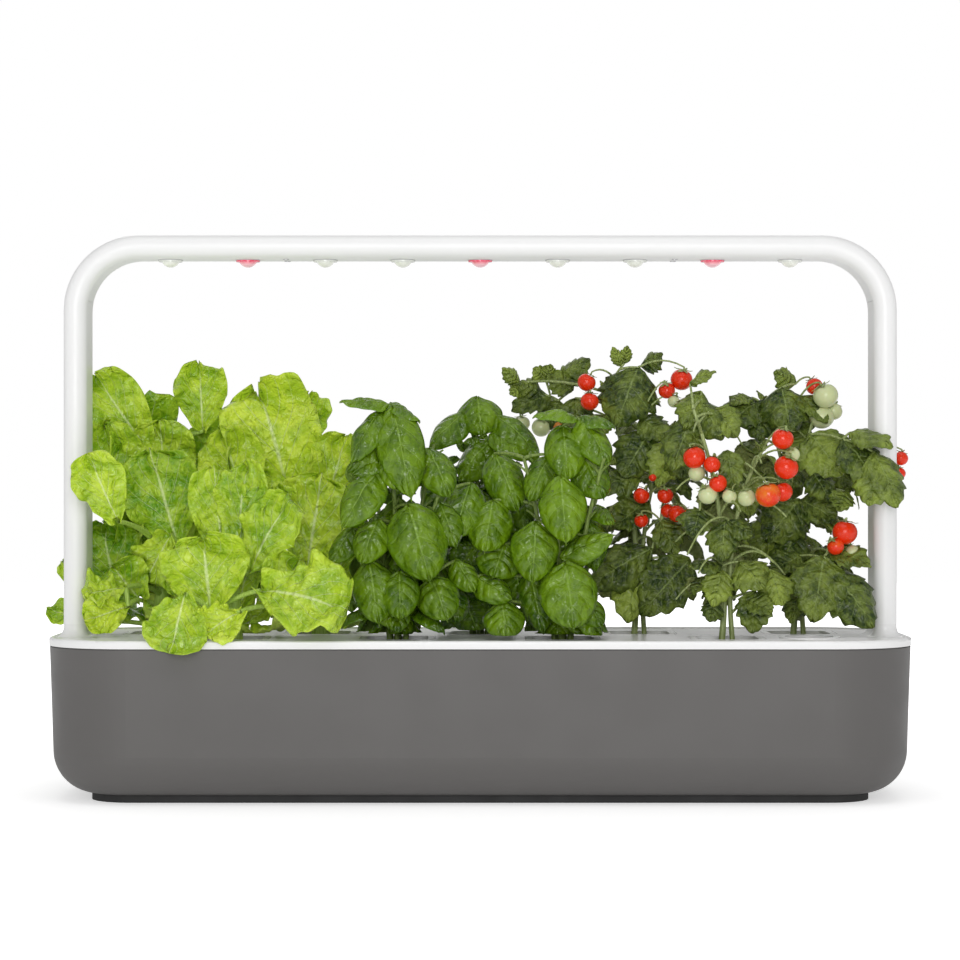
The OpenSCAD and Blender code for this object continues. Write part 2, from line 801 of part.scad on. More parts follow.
// Each of the far leaves is [share of the stem's height, turn, length, width, rise, fall]
module far_leaves(far, h, sway, fold, ruffle, peak) {
    for (f = far)
        leaf_at(on_stem(f[0], h, sway), f[1]) leaf(f[2], f[3], f[4], f[5], fold, ruffle, peak);
}

// A rosette of broad waved leaves, flat and short outside, upright and tall inside
module lettuce(n, h, leaves, phase, far) {
    core_h = h * 0.4;
    color([0.62, 0.78, 0.3]) on_pod(n, root_r) {
        stem(core_h, root_r, 2.5, 2);
        for (i = [0:leaves - 1]) {
            turn = phase + i * golden;
            k = i / (leaves - 1);
            l = (reach(n, turn) + 12) * (1 - k) + h * 0.66 * k;
            leaf_at(on_stem(0.15 + k * 0.8, core_h, 2), turn)
                leaf(l, 62 - 6 * k, 66 + 22 * k, 2 + 62 * k, 0.2, 3, 1.7, cols = 4);
        }
        far_leaves(far, core_h, 2, 0.15, 2, 1.4);
    }
}

// Leaves in opposite pairs, each pair turned across the one below, with drooping tips
module basil(n, h, pairs, phase) {
    stem_h = h * 0.92;
    color([0.25, 0.55, 0.15]) on_pod(n, root_r) {
        stem(stem_h, root_r, 1.8, 3);
        for (i = [0:pairs - 1], side = [0, 180]) {
            turn = phase + i * 67 + side;
            k = i / (pairs - 1);
            leaf_at(on_stem(0.18 + 0.8 * k, stem_h, 3), turn)
                leaf(min(reach(n, turn) * 1.15, 62), 40 - 6 * k, 45, -58, -0.25, 0, 0.9);
        }
    }
}

module fruit(p, r) {
    translate(p) sphere(r, $fn = 8);
}

// A truss leaves the stem at share s of its height, in direction turn, and hangs its fruit in pairs
module truss(s, turn, count, h, sway) {
    from = on_stem(s, h, sway);
    tip = from + [20 * cos(turn), 20 * sin(turn), 4];
    twig(from, tip, 1.4, 1.2);
    for (f = [0:count - 1]) {
        across = f % 2 == 0 ? 6 : -6;
        p = tip + [across * cos(turn + 90), across * sin(turn + 90), -3 - f * 5];
        twig(tip, p, 1, 1);
        fruit(p, 7.5 - f * 0.5);
    }
}

// A bowed stem with long drooping leaves and trusses of fruit
module tomato(n, h, leaves, phase, trusses, far) {
    stem_h = h * 0.93;
    color([0.2, 0.4, 0.15]) on_pod(n, root_r) {
        stem(stem_h, root_r, 1.6, 4);
        for (i = [0:leaves - 1]) {
            turn = phase + i * golden;
            k = i / (leaves - 1);
            leaf_at(on_stem(0.18 + 0.8 * k, stem_h, 4), turn)
                leaf(min(reach(n, turn) * 1.15, 66), 40 - 8 * k, 40, -62, 0.12, 1.5, 0.9);
        }
        for (t = trusses) truss(t[0], t[1], t[2], stem_h, 4);
        far_leaves(far, stem_h, 4, 0.12, 1.5, 0.9);
    }
}

module lettuce_1() lettuce(1, 150, 7, 203, [[0.9, 247, 124, 28, 62, -20], [0.5, 172, 96, 30, 30, -25]]);
module lettuce_2() lettuce(2, 150, 7, 60, [[0.9, 254, 92, 44, 40, -72]]);
module lettuce_3() lettuce(3, 185, 8, 93, []);
module basil_1() basil(4, 170, 6, 30);
module basil_2() basil(5, 176, 6, 53);
module basil_3() basil(6, 150, 6, 104);
module tomato_1() tomato(7, 200, 11, 23, [[0.85, 200, 2], [0.6, 320, 2]], []);
module tomato_2() tomato(8, 165, 10, 67, [[0.9, 250, 3], [0.7, 300, 2]], []);
module tomato_3() tomato(9, 190, 9, 113, [[0.88, 350, 2], [0.5, 320, 3]],
                         [[0.55, 295, 122, 28, 48, -26], [0.7, 8, 92, 30, 25, -30]]);

// ---------- assembly ----------

tank();
foot_plate();
tray();
wicks();
float_guide();
float();
control_case();
control_board();
power_inlet();
inlet_pin_contact();
socket_pins();
arm_left();
arm_right();
arm_conductors();
lamp_housing();
lamp_cover();
led_strip();
lamp_contacts();
cover_screws();
touch_sensor();
white_lenses();
red_lenses();
lens_seals();
for (n = cup_numbers)
    plant_cup(n);
for (n = cup_numbers)
    soil_pod(n);
lettuce_1();
lettuce_2();
lettuce_3();
basil_1();
basil_2();
basil_3();
tomato_1();
tomato_2();
tomato_3();
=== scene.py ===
import math
import random

import bmesh
import bpy
from mathutils import Matrix, Vector, noise


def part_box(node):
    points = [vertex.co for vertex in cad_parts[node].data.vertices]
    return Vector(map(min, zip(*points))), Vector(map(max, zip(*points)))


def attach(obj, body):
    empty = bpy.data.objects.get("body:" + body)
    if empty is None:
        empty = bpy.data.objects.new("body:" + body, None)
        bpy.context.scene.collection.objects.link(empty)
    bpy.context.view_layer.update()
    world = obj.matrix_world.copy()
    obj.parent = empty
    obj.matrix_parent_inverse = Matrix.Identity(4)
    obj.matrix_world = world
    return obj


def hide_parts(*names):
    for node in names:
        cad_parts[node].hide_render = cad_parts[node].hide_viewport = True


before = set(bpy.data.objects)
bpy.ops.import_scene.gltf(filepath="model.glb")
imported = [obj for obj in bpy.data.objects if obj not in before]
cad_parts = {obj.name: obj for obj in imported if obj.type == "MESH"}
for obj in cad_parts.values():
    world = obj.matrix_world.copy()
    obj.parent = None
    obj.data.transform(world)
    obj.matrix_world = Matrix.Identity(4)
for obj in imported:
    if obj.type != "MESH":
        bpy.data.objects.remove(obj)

bl_info = {
    "name": "Countertop garden looks",
    "version": (1, 0, 0),
    "blender": (4, 5, 0),
    "location": "3D View > Sidebar > Garden",
    "description": "Finishes, plants, soil and stage for a countertop garden",
    "category": "Object",
}

# ---------- places and sizes ----------

# The picture's view: how far the eye stands in front of the frame's origin and above it in mm, its
# reach in pixels, and the column and row that it looks at
EYE_AWAY = 2000
EYE_UP = 225.7
EYE_REACH = 2789
EYE_COLUMN = 480.25
EYE_ROW = 478
# The same view as a camera's lens and sensor in mm and its shift
EYE_LENS = 104.59
EYE_SENSOR = 36.0
EYE_SHIFT = (-0.00026, -0.0021)

# Blades seen from the front, noted from the picture or moved clear of a neighbour: plant, root and
# tip, each as column, row and depth y in mm, width in pixels, the way the upper side faces, and
# paleness, which is partly the blade's own colour and partly painted shade on blades that sit in
# shade, such as the dark lettuce leaves behind a crown and the dark tomato leaves
NOTED_BLADES = [
    # lettuces
    (1, (151, 454, 50), (94, 374, 38), 56, (-0.3, -0.85, 0.45), 0.55),
    (1, (203, 432, 62), (199, 364, 66), 50, (0.05, -1, 0.1), 0.6),
    (3, (290, 500, 58), (257, 385, 66), 92, (0.1, -1, 0.2), 0.95),
    (3, (303, 448, 76), (310, 393, 80), 42, (0.3, -0.95, 0), 0.5),
    (3, (318, 520, 52), (347, 436, 52), 58, (0.3, -1, 0.25), 0.8),
    (3, (306, 572, 24), (322, 476, 30), 74, (0, -1, 0.2), 0.75),
    (1, (118, 522, -42), (88, 453, -54), 50, (-0.15, -1, 0.2), 0.7),
    (1, (178, 546, 14), (152, 452, 20), 78, (-0.1, -1, 0.25), 0.2),
    (1, (170, 535, 8), (146, 584, 4), 50, (-0.35, -0.9, 0.1), 0.75),
    (2, (210, 612, -66), (203, 536, -58), 84, (0, -1, 0.3), 0.6),
    (2, (185, 594, -84), (171, 654, -98), 60, (0, -1, 0.3), 0.55),
    (2, (260, 590, -72), (348, 608, -96), 79, (0.1, -0.9, 0.45), 0.6),
    (2, (240, 612, -70), (204, 634, -90), 44, (0.3, -0.8, 0.6), 1),
    (1, (125, 588, -26), (82, 594, -36), 46, (0.05, -0.5, 0.9), 0.7),
    (1, (128, 606, -28), (84, 622, -40), 40, (0, -0.95, 0.2), 0.95),
    # Dark lettuce leaf behind the first crown: its low paleness is painted shade
    (1, (118, 600, 36), (102, 522, 30), 66, (-0.1, -1, 0.1), 0.1),
    (2, (250, 572, -45), (290, 498, -40), 56, (-0.25, -1, 0.2), 0.45),
    (2, (222, 560, -30), (214, 468, -22), 54, (0.1, -1, 0.3), 0.5),
    (2, (240, 560, -34), (246, 462, -24), 50, (-0.2, -1, 0.2), 0.45),
    (2, (262, 570, -30), (276, 486, -18), 50, (0.2, -1, 0.2), 0.6),
    (1, (132, 520, 34), (104, 424, 34), 62, (-0.2, -1, 0.2), 0.45),
    (1, (168, 520, 44), (160, 420, 46), 62, (0.1, -1, 0.3), 0.6),
    (3, (250, 520, 36), (222, 430, 46), 62, (-0.1, -1, 0.3), 0.8),
    (3, (268, 560, 30), (258, 470, 34), 64, (0.1, -1, 0.3), 0.6),
    (1, (95, 624, 42), (47, 609, 42), 26, (-0.1, -0.8, 0.6), 0.45),
    (1, (96, 600, 46), (61, 560, 48), 22, (-0.2, -1, 0.2), 0.4),
    (3, (330, 600, 40), (352, 520, 40), 50, (0.3, -1, 0.2), 0.5),
    (2, (270, 606, -56), (300, 560, -50), 54, (0.2, -1, 0.3), 0.5),
    (1, (140, 600, 2), (112, 566, -8), 52, (-0.2, -1, 0.4), 0.35),
    (2, (200, 600, -50), (180, 560, -40), 50, (-0.2, -1, 0.3), 0.3),
    # basils
    (4, (388, 405, -52), (342, 401, -60), 26, (0, -0.28, 1), 0.7),
    (4, (390, 403, -52), (419, 422, -60), 26, (0.55, -0.2, 0.8), 0.3),
    (4, (392, 407, -60), (411, 497, -74), 46, (0.05, -1, 0.2), 0.6),
    (4, (384, 409, -54), (352, 462, -66), 32, (-0.45, -0.85, 0.3), 0.4),
    (4, (386, 440, -50), (349, 472, -60), 28, (-0.4, -0.8, 0.4), 0.35),
    (4, (390, 456, -50), (353, 475, -64), 26, (-0.2, -0.6, 0.8), 0.55),
    (4, (376, 472, -62), (344, 527, -76), 42, (-0.3, -0.95, 0.3), 0.5),
    (4, (386, 456, -60), (396, 489, -68), 22, (0.1, -1, 0.3), 0.7),
    (4, (428, 449, -52), (448, 497, -66), 38, (0.2, -1, 0.3), 0.5),
    (5, (490, 440, 8), (460, 480, 4), 36, (-0.2, -0.9, 0.5), 0.55),
    (5, (477, 397, 14), (481, 434, 2), 44, (0, -0.95, 0.4), 0.6),
    (5, (466, 413, 12), (430, 448, 4), 34, (-0.35, -0.8, 0.45), 0.4),
    (5, (497, 416, 10), (539, 459, 4), 36, (0.35, -0.85, 0.4), 0.45),
    (5, (490, 434, 6), (529, 460, 2), 26, (0.2, -0.6, 0.8), 0.6),
    (6, (495, 453, -30), (518, 511, -46), 38, (0.1, -1, 0.25), 0.5),
    (6, (550, 455, -40), (529, 501, -52), 32, (-0.2, -0.95, 0.3), 0.45),
    (6, (563, 425, -46), (568, 479, -60), 40, (-0.05, -1, 0.25), 0.6),
    (6, (582, 419, -46), (608, 464, -58), 36, (0.3, -0.9, 0.3), 0.75),
    (6, (578, 417, -44), (534, 416, -52), 24, (0, -0.3, 1), 0.7),
    (6, (581, 416, -44), (613, 428, -50), 24, (0.2, -0.35, 0.9), 0.4),
    (6, (584, 459, -46), (604, 497, -56), 38, (0.2, -0.9, 0.35), 0.45),
    (6, (561, 478, -60), (566, 541, -76), 46, (0, -1, 0.2), 0.75),
    (6, (536, 522, -58), (533, 581, -72), 46, (0, -1, 0.2), 0.55),
    (6, (560, 558, -56), (613, 535, -60), 30, (0.1, -0.8, 0.6), 0.7),
    (6, (566, 562, -66), (573, 627, -84), 56, (0.05, -1, 0.2), 0.65),
    (6, (585, 598, -56), (601, 626, -66), 28, (0.3, -0.9, 0.2), 0.5),
    (4, (408, 505, -66), (430, 579, -82), 58, (0.05, -1, 0.2), 0.55),
    (4, (440, 504, -54), (456, 546, -62), 32, (0.2, -1, 0.2), 0.35),
    (4, (470, 483, -40), (455, 537, -56), 42, (-0.1, -1, 0.25), 0.5),
    (6, (493, 501, -44), (484, 551, -62), 44, (-0.1, -1, 0.2), 0.6),
    (6, (505, 543, -48), (493, 577, -60), 44, (0, -1, 0.2), 0.5),
    (4, (378, 519, -62), (361, 563, -74), 36, (-0.15, -1, 0.3), 0.6),
    (4, (353, 529, -50), (331, 562, -54), 28, (-0.4, -0.85, 0.2), 0.4),
    (4, (370, 561, -62), (379, 623, -78), 42, (-0.05, -1, 0.2), 0.45),
    (4, (400, 572, -66), (400, 619, -80), 38, (0, -1, 0.25), 0.45),
    (4, (431, 577, -60), (447, 619, -74), 42, (0.1, -1, 0.2), 0.45),
    (4, (456, 561, -50), (475, 591, -60), 28, (0.2, -0.95, 0.3), 0.4),
    (6, (478, 577, -52), (511, 600, -62), 32, (0.1, -0.85, 0.5), 0.5),
    (5, (466, 603, 4), (478, 632, 2), 38, (0, -1, 0.2), 0.35),
    (6, (502, 601, -56), (506, 637, -72), 40, (0, -1, 0.25), 0.6),
    (6, (530, 570, -46), (543, 633, -54), 34, (-0.1, -1, 0.1), 0.25),
    (4, (345, 580, -40), (352, 612, -46), 26, (-0.5, -0.85, 0.1), 0.25),
    (4, (420, 520, -46), (416, 560, -50), 32, (-0.1, -1, 0.1), 0.2),
    (5, (440, 470, 10), (436, 520, 4), 36, (-0.2, -1, 0.2), 0.3),
    (5, (520, 480, 10), (526, 530, 4), 36, (0.2, -1, 0.2), 0.3),
    (6, (516, 560, -36), (520, 604, -40), 34, (0, -1, 0.1), 0.25),
    (6, (590, 520, -36), (596, 570, -40), 34, (0.3, -1, 0.1), 0.3),
    (4, (450, 590, -40), (458, 622, -46), 30, (0, -1, 0.1), 0.2),
    (6, (552, 590, -40), (548, 628, -46), 30, (-0.2, -1, 0.1), 0.2),
    # tomatoes
    (7, (519, 383, 66), (502, 368, 62), 16, (0, -0.9, 0.4), 0.95),
    (7, (523, 386, 66), (510, 395, 62), 16, (0, -0.9, 0.4), 0.9),
    (7, (544, 379, 66), (533, 368, 62), 18, (0, -0.9, 0.4), 0.8),
    (7, (546, 382, 66), (551, 364, 62), 16, (0.2, -0.9, 0.4), 0.8),
    (7, (559, 380, 66), (590, 359, 62), 27, (0.1, -0.75, 0.6), 0.3),
    (7, (550, 397, 66), (511, 411, 62), 30, (-0.1, -0.8, 0.5), 0.2),
    (7, (559, 401, 66), (547, 430, 62), 31, (0, -0.9, 0.3), 0.15),
    (7, (542, 395, 66), (518, 383, 62), 27, (-0.1, -0.9, 0.4), 0.15),
    (7, (572, 391, 66), (547, 375, 62), 27, (0, -0.9, 0.4), 0.3),
    (7, (575, 398, 34), (580, 440, 26), 34, (0.2, -0.95, 0.2), 0.15),
    (7, (622, 366, 30), (612, 347, 28), 12, (0, -0.9, 0.4), 0.8),
    (7, (624, 364, 30), (628, 345, 28), 12, (0.2, -0.9, 0.3), 0.7),
    (7, (638, 368, 28), (617, 428, 8), 56, (-0.1, -1, 0.25), 0.1),
    (7, (640, 366, 34), (663, 354, 30), 26, (0.2, -0.7, 0.7), 0.05),
    (7, (636, 420, 24), (600, 398, 20), 34, (-0.2, -0.8, 0.6), 0.35),
    (7, (640, 418, 18), (668, 440, 10), 32, (0.3, -0.9, 0.3), 0.2),
    (7, (650, 430, 14), (622, 478, 6), 46, (-0.1, -1, 0.2), 0.1),
    (7, (670, 440, 14), (658, 487, 8), 36, (0.2, -1, 0.1), 0.85),
    (7, (672, 444, 10), (688, 480, 4), 30, (0.2, -1, 0.1), 0.2),
    (7, (640, 478, 14), (592, 492, 4), 32, (-0.2, -0.8, 0.5), 0.3),
    (7, (648, 500, 20), (614, 528, 14), 38, (-0.2, -0.95, 0.2), 0.1),
    (7, (652, 548, 10), (588, 588, 6), 46, (-0.1, -0.95, 0.3), 0.12),
    (7, (640, 560, 14), (628, 623, 10), 44, (-0.1, -1, 0.1), 0.9),
    (7, (690, 560, 6), (640, 616, 4), 50, (0, -0.95, 0.3), 0.12),
    (7, (660, 520, 12), (676, 556, 6), 30, (0.1, -1, 0.2), 0.25),
    (7, (655, 560, 16), (668, 600, 10), 36, (0.1, -1, 0.1), 0.15),
    (8, (690, 384, -20), (716, 372, -26), 20, (0.1, -0.6, 0.8), 0.6),
    (8, (700, 400, -24), (722, 440, -34), 40, (0.2, -0.95, 0.3), 0.2),
    (8, (702, 392, -20), (684, 430, -30), 36, (-0.1, -0.95, 0.3), 0.5),
    (8, (712, 410, -26), (738, 436, -30), 36, (0.2, -0.9, 0.4), 0.65),
    (8, (690, 420, -24), (672, 470, -34), 40, (-0.1, -0.95, 0.2), 0.3),
    (8, (728, 450, -40), (733, 492, -50), 26, (0, -1, 0.2), 0.2),
    (8, (700, 510, -44), (692, 538, -50), 28, (0, -1, 0.2), 0.15),
    (8, (725, 520, -48), (722, 562, -58), 32, (0, -1, 0.2), 0.15),
    (8, (728, 520, -46), (752, 536, -54), 26, (0.2, -0.9, 0.4), 0.15),
    (8, (712, 520, -40), (676, 520, -44), 26, (0, -0.7, 0.7), 0.3),
    (8, (722, 566, -46), (688, 566, -54), 24, (-0.1, -0.6, 0.8), 0.12),
    (8, (722, 570, -48), (712, 607, -56), 30, (0, -1, 0.1), 0.85),
    (8, (716, 600, -48), (710, 622, -54), 22, (0, -1, 0.1), 0.1),
    (8, (738, 562, -44), (764, 590, -54), 40, (0.2, -0.95, 0.3), 0.7),
    (8, (770, 570, -40), (782, 607, -50), 36, (0.1, -1, 0.2), 0.75),
    (8, (756, 592, -44), (752, 634, -50), 34, (0, -1, 0.2), 0.2),
    (8, (748, 600, -46), (772, 612, -54), 26, (0.2, -0.9, 0.4), 0.4),
    (8, (740, 470, -30), (750, 516, -36), 36, (0.1, -1, 0.2), 0.4),
    (9, (760, 402, 26), (724, 426, 14), 40, (-0.2, -0.85, 0.5), 0.1),
    (9, (752, 398, 24), (731, 404, 18), 18, (-0.1, -0.6, 0.8), 0.25),
    (9, (766, 400, 24), (758, 440, 10), 40, (0, -1, 0.2), 0.05),
    (9, (782, 388, 18), (790, 433, 4), 50, (0, -1, 0.25), 0.15),
    (9, (796, 384, 26), (774, 372, 22), 24, (0, -0.9, 0.4), 0.5),
    (9, (800, 396, 20), (827, 423, 8), 22, (0.2, -0.9, 0.4), 0.15),
    (9, (808, 436, 20), (790, 470, 10), 36, (-0.1, -1, 0.2), 0.55),
    (9, (810, 434, 6), (842, 476, -8), 56, (0.1, -0.95, 0.3), 0.6),
    (9, (842, 440, -14), (882, 492, -34), 44, (0.2, -0.9, 0.45), 0.05),
    (9, (850, 432, -16), (893, 446, -34), 34, (0.1, -0.6, 0.8), 0.5),
    (9, (874, 452, -28), (898, 508, -44), 40, (0.3, -0.95, 0.2), 0.45),
    (9, (878, 470, -30), (868, 506, -46), 38, (-0.1, -1, 0.2), 0.6),
    (9, (812, 470, 2), (830, 502, -6), 30, (0.1, -1, 0.2), 0.1),
    (9, (845, 492, -10), (838, 512, -18), 24, (0, -1, 0.2), 0.5),
    (9, (800, 500, 10), (766, 542, 2), 52, (-0.1, -1, 0.2), 0.1),
    (9, (796, 530, 10), (778, 572, 2), 42, (-0.1, -1, 0.2), 0.05),
    (9, (800, 500, 16), (836, 520, 8), 36, (0.2, -0.9, 0.3), 0.15),
    (9, (786, 510, 14), (752, 560, 6), 36, (-0.1, -1, 0.1), 0.5),
    (9, (830, 552, -14), (872, 566, -26), 32, (0.1, -0.7, 0.7), 0.35),
    (9, (824, 556, -20), (812, 622, -34), 52, (-0.05, -1, 0.2), 0.35),
    (9, (832, 568, -24), (873, 628, -40), 50, (0.15, -0.95, 0.3), 0.1),
    (9, (800, 556, -4), (770, 572, -12), 30, (-0.1, -0.7, 0.7), 0.1),
    (9, (800, 592, -2), (790, 624, -10), 24, (0, -1, 0.1), 0.12),
    (9, (812, 560, 14), (850, 560, 20), 34, (0.1, -0.8, 0.5), 0.2),
    (9, (786, 440, 30), (812, 404, 30), 30, (0.2, -0.9, 0.3), 0.3),
]
# Fruit: plant, middle as column, row and depth, radius in pixels, ripeness
NOTED_FRUIT = [
    (7, (586, 383, 20), 9.2, 1),
    (7, (589, 401, 16), 9.2, 1),
    (7, (681, 380, 24), 11.2, 1),
    (7, (667, 390, 20), 8.4, 1),
    (8, (695, 458, -46), 11.4, 1),
    (8, (712, 464, -50), 8.6, 1),
    (8, (718, 483, -52), 9.2, 1),
    (7, (652, 477, 6), 4, 1),
    (7, (641, 495, 8), 8.4, 1),
    (7, (665, 496, 6), 8.2, 1),
    (7, (641, 521, 8), 7.2, 1),
    (7, (667, 511, 10), 7.2, 1),
    (7, (676, 514, 2), 8.8, 1),
    (7, (688, 514, 6), 5.6, 0.6),
    (8, (783, 439, -54), 11, 1),
    (8, (786, 468, -58), 12.4, 1),
    (8, (768, 495, -62), 13, 0.78),
    (8, (783, 492, -54), 10, 1),
    (9, (814, 387, 20), 8.6, 1),
    (9, (845, 532, -18), 12.6, 1),
    (9, (835, 547, -22), 8.6, 0.9),
    (9, (901.5, 459, 42), 7.2, 1),
    (9, (900, 473, 42), 6.2, 1),
    (7, (541, 428, 64), 9.6, 0),
    (7, (522, 424, 64), 7.8, 0),
    (7, (674, 402, 18), 6.4, 0.1),
    (8, (697, 474, -42), 8.6, 0),
    (8, (708, 495, -50), 9.8, 0),
    (8, (730, 496, -52), 7.4, 0),
    (8, (746, 497, -50), 9.2, 0),
    (8, (792, 455, -52), 7.6, 0),
    (9, (826, 396, 12), 12.8, 0),
    (9, (822, 417, 18), 12.6, 0),
    (9, (852, 552, -14), 7.4, 0),
    (7, (559, 426, 64), 6.9, 0.6),
    (9, (833, 412, 22), 9, 0),
]

# Room for each plant's free growth, so that its pod can rise past its neighbours, in mm:
# x0, x1, y0, y1, top
ROOM = {
    1: (-274, -178, 2, 90, 262),
    2: (-228, -120, -88, -4, 232),
    3: (-170, -64, 4, 90, 250),
    4: (-110, -6, -84, -4, 262),
    5: (-52, 52, 4, 50, 268),
    6: (8, 110, -84, -4, 252),
    7: (64, 170, 6, 88, 300),
    8: (122, 228, -86, -6, 286),
    9: (180, 276, 8, 88, 290),
}
LETTUCES = (1, 2, 3)
BASILS = (4, 5, 6)
TOMATOES = (7, 8, 9)
GOLDEN = math.radians(137.5)
MM = 0.001
LENS_PITCH = 0.0555
# Over the tray a blade lies no lower than TRAY_CLEAR. In front of EDGE_FROM it hangs outside
# EDGE_CLEAR instead, and nothing reaches past FRONT_LIMIT.
TRAY_CLEAR = 0.1165
EDGE_FROM = -0.085
EDGE_CLEAR = -0.0945
FRONT_LIMIT = -0.1062
# Width inside the room's limits over which free growth bends in
ROOM_EDGE = 0.014
# A blade's waves start at a phase between 0 and this
PHASES = 20
PODS = range(1, 10)
WHITE = (0.89, 0.89, 0.888)


def seen_at(column, row, depth):
    """Millimetres in the frame of what the picture shows there at this depth"""
    scale = (EYE_AWAY + depth) / EYE_REACH
    return round((column - EYE_COLUMN) * scale), depth, round(EYE_UP - (row - EYE_ROW) * scale)


def seen_size(pixels, depth, digits=None):
    """Millimetres across of what the picture shows this many pixels wide at this depth"""
    return round(pixels * (EYE_AWAY + depth) / EYE_REACH, digits)


BLADES = [
    (plant, seen_at(*root), seen_at(*tip), seen_size(width, (root[2] + tip[2]) / 2), face, tone_and_shade)
    for plant, root, tip, width, face, tone_and_shade in NOTED_BLADES
]
FRUIT = [
    (plant, seen_at(*place), seen_size(radius, place[2], 1), ripe)
    for plant, place, radius, ripe in NOTED_FRUIT
]


class GardenLook(bpy.types.PropertyGroup):
    """Amounts that shape the plants, the finishes and the stage"""

    seed: bpy.props.IntProperty(
        name="Seed", description="Start of the chosen growth", default=11, min=0
    )
    leaf_thickness: bpy.props.FloatProperty(
        name="Leaf thickness", description="Thickness of a blade", default=0.0004,
        min=0.0001, max=0.002, subtype="DISTANCE", unit="LENGTH",
    )
    lettuce_leaves: bpy.props.IntProperty(
        name="Lettuce leaves", description="Free leaves of each lettuce", default=24, min=0, max=60
    )
    lettuce_ruffle: bpy.props.FloatProperty(
        name="Lettuce ruffle", description="Depth of the waves along a lettuce edge",
        default=0.006, min=0.0, subtype="DISTANCE", unit="LENGTH",
    )
    basil_stems: bpy.props.IntProperty(
        name="Basil stems", description="Stems of each basil", default=6, min=1, max=8
    )
    basil_pucker: bpy.props.FloatProperty(
        name="Basil pucker", description="Height of the quilting between two side veins",
        default=0.0017, min=0.0, subtype="DISTANCE", unit="LENGTH",
    )
    tomato_leaves: bpy.props.IntProperty(
        name="Tomato leaves", description="Free compound leaves of each tomato",
        default=11, min=0, max=30,
    )
    soil_crumbs: bpy.props.IntProperty(
        name="Soil crumbs", description="Loose crumbs on each pod", default=110, min=0, max=400
    )
    lamp_level: bpy.props.FloatProperty(
        name="Lamp level", description="Share of the stage lamps' plain level", default=1.0, min=0.0
    )


# ---------- finishes ----------


class Nodes:
    """The node tree of a material or of the surroundings, filled anew"""

    def __init__(self, owner):
        owner.use_nodes = True
        self.tree = owner.node_tree
        self.tree.nodes.clear()

    def node(self, kind, inputs=None, **settings):
        made = self.tree.nodes.new(kind)
        for key, value in settings.items():
            setattr(made, key, value)
        for key, value in (inputs or {}).items():
            self.put(made.inputs[key], value)
        return made

    def put(self, socket, value):
        if isinstance(value, bpy.types.NodeSocket):
            self.tree.links.new(value, socket)
        else:
            socket.default_value = value

    def calc(self, operation, a, b=0.0):
        return self.node("ShaderNodeMath", {0: a, 1: b}, operation=operation).outputs[0]


class Finish(Nodes):
    """One procedural material: a Principled surface and the nodes that feed it"""

    def __init__(self, name, roughness, **fixed):
        self.material = bpy.data.materials.new(name)
        super().__init__(self.material)
        self.surface = self.node("ShaderNodeBsdfPrincipled", {"Roughness": roughness, **fixed})
        self.node("ShaderNodeOutputMaterial", {"Surface": self.surface.outputs[0]})
        self.place = self.node("ShaderNodeTexCoord").outputs["Object"]

    def read(self, name):
        return self.node("ShaderNodeAttribute", attribute_name=name).outputs["Fac"]

    def noise(self, scale, detail=2.0, place=None, distortion=0.0):
        place = place or self.place
        inputs = {"Vector": place, "Scale": scale, "Detail": detail, "Distortion": distortion}
        return self.node("ShaderNodeTexNoise", inputs).outputs["Fac"]

    def spread(self, value, low, high, to_low=0.0, to_high=1.0):
        inputs = {0: value, 1: low, 2: high, 3: to_low, 4: to_high}
        return self.node("ShaderNodeMapRange", inputs, interpolation_type="SMOOTHSTEP").outputs[0]

    def blend(self, share, a, b):
        a, b = (c if isinstance(c, bpy.types.NodeSocket) else (*c, 1.0) for c in (a, b))
        return self.node("ShaderNodeMix", {0: share, 6: a, 7: b}, data_type="RGBA").outputs[2]

    def bump(self, height, distance, under=None):
        inputs = {"Height": height, "Distance": distance, "Strength": 1.0}
        if under:
            inputs["Normal"] = under
        return self.node("ShaderNodeBump", inputs).outputs[0]

    def stretched(self, scale):
        """Streaks: noise on places scaled by a different amount along each axis"""
        place = self.node("ShaderNodeMapping", {"Vector": self.place, "Scale": scale}).outputs[0]
        return self.noise(1.0, 3.0, place)

    def wear(self, **inputs):
        for key, value in inputs.items():
            self.put(self.surface.inputs[key.replace("_", " ")], value)


def shade(colour, share):
    return tuple(min(1.0, c * share) for c in colour)


def moulded(name, colour, roughness, grain=0.00001, grain_scale=1400.0, spread=0.03, **fixed):
    """Moulded plastic: a fine grain, a slow change of colour and of gloss"""
    f = Finish(name, roughness, **fixed)
    slow = f.noise(9.0, 3.0)
    f.wear(
        Base_Color=f.blend(slow, shade(colour, 1 - spread), shade(colour, 1 + spread)),
        Roughness=f.spread(f.noise(30.0, 4.0), 0.3, 0.7, roughness * 0.9, roughness * 1.1),
        Normal=f.bump(f.noise(grain_scale, 2.0), grain),
    )
    return f.material


def metal(name, colour, roughness):
    f = Finish(name, roughness, Metallic=1.0)
    streak = f.stretched((60.0, 3000.0, 3000.0))
    f.wear(
        Base_Color=f.blend(streak, shade(colour, 0.85), colour),
        Roughness=f.spread(streak, 0.3, 0.7, roughness * 0.8, roughness * 1.2),
    )
    return f.material


def felt(name, colour):
    f = Finish(name, 0.95)
    fibre = f.noise(900.0, 4.0, distortion=2.0)
    f.wear(
        Base_Color=f.blend(f.spread(fibre, 0.3, 0.7), shade(colour, 0.7), colour),
        Normal=f.bump(fibre, 0.0004),
    )
    return f.material


def board(name, colour, track):
    """A circuit board: square tracks under a coloured coat"""
    f = Finish(name, 0.35)
    bricks = f.node(
        "ShaderNodeTexBrick",
        {"Vector": f.place, "Color1": (*colour, 1), "Color2": (*shade(colour, 0.8), 1),
         "Mortar": (*track, 1), "Scale": 130.0, "Mortar Size": 0.06},
    )
    f.wear(Base_Color=bricks.outputs["Color"], Normal=f.bump(bricks.outputs["Fac"], 0.00005))
    return f.material


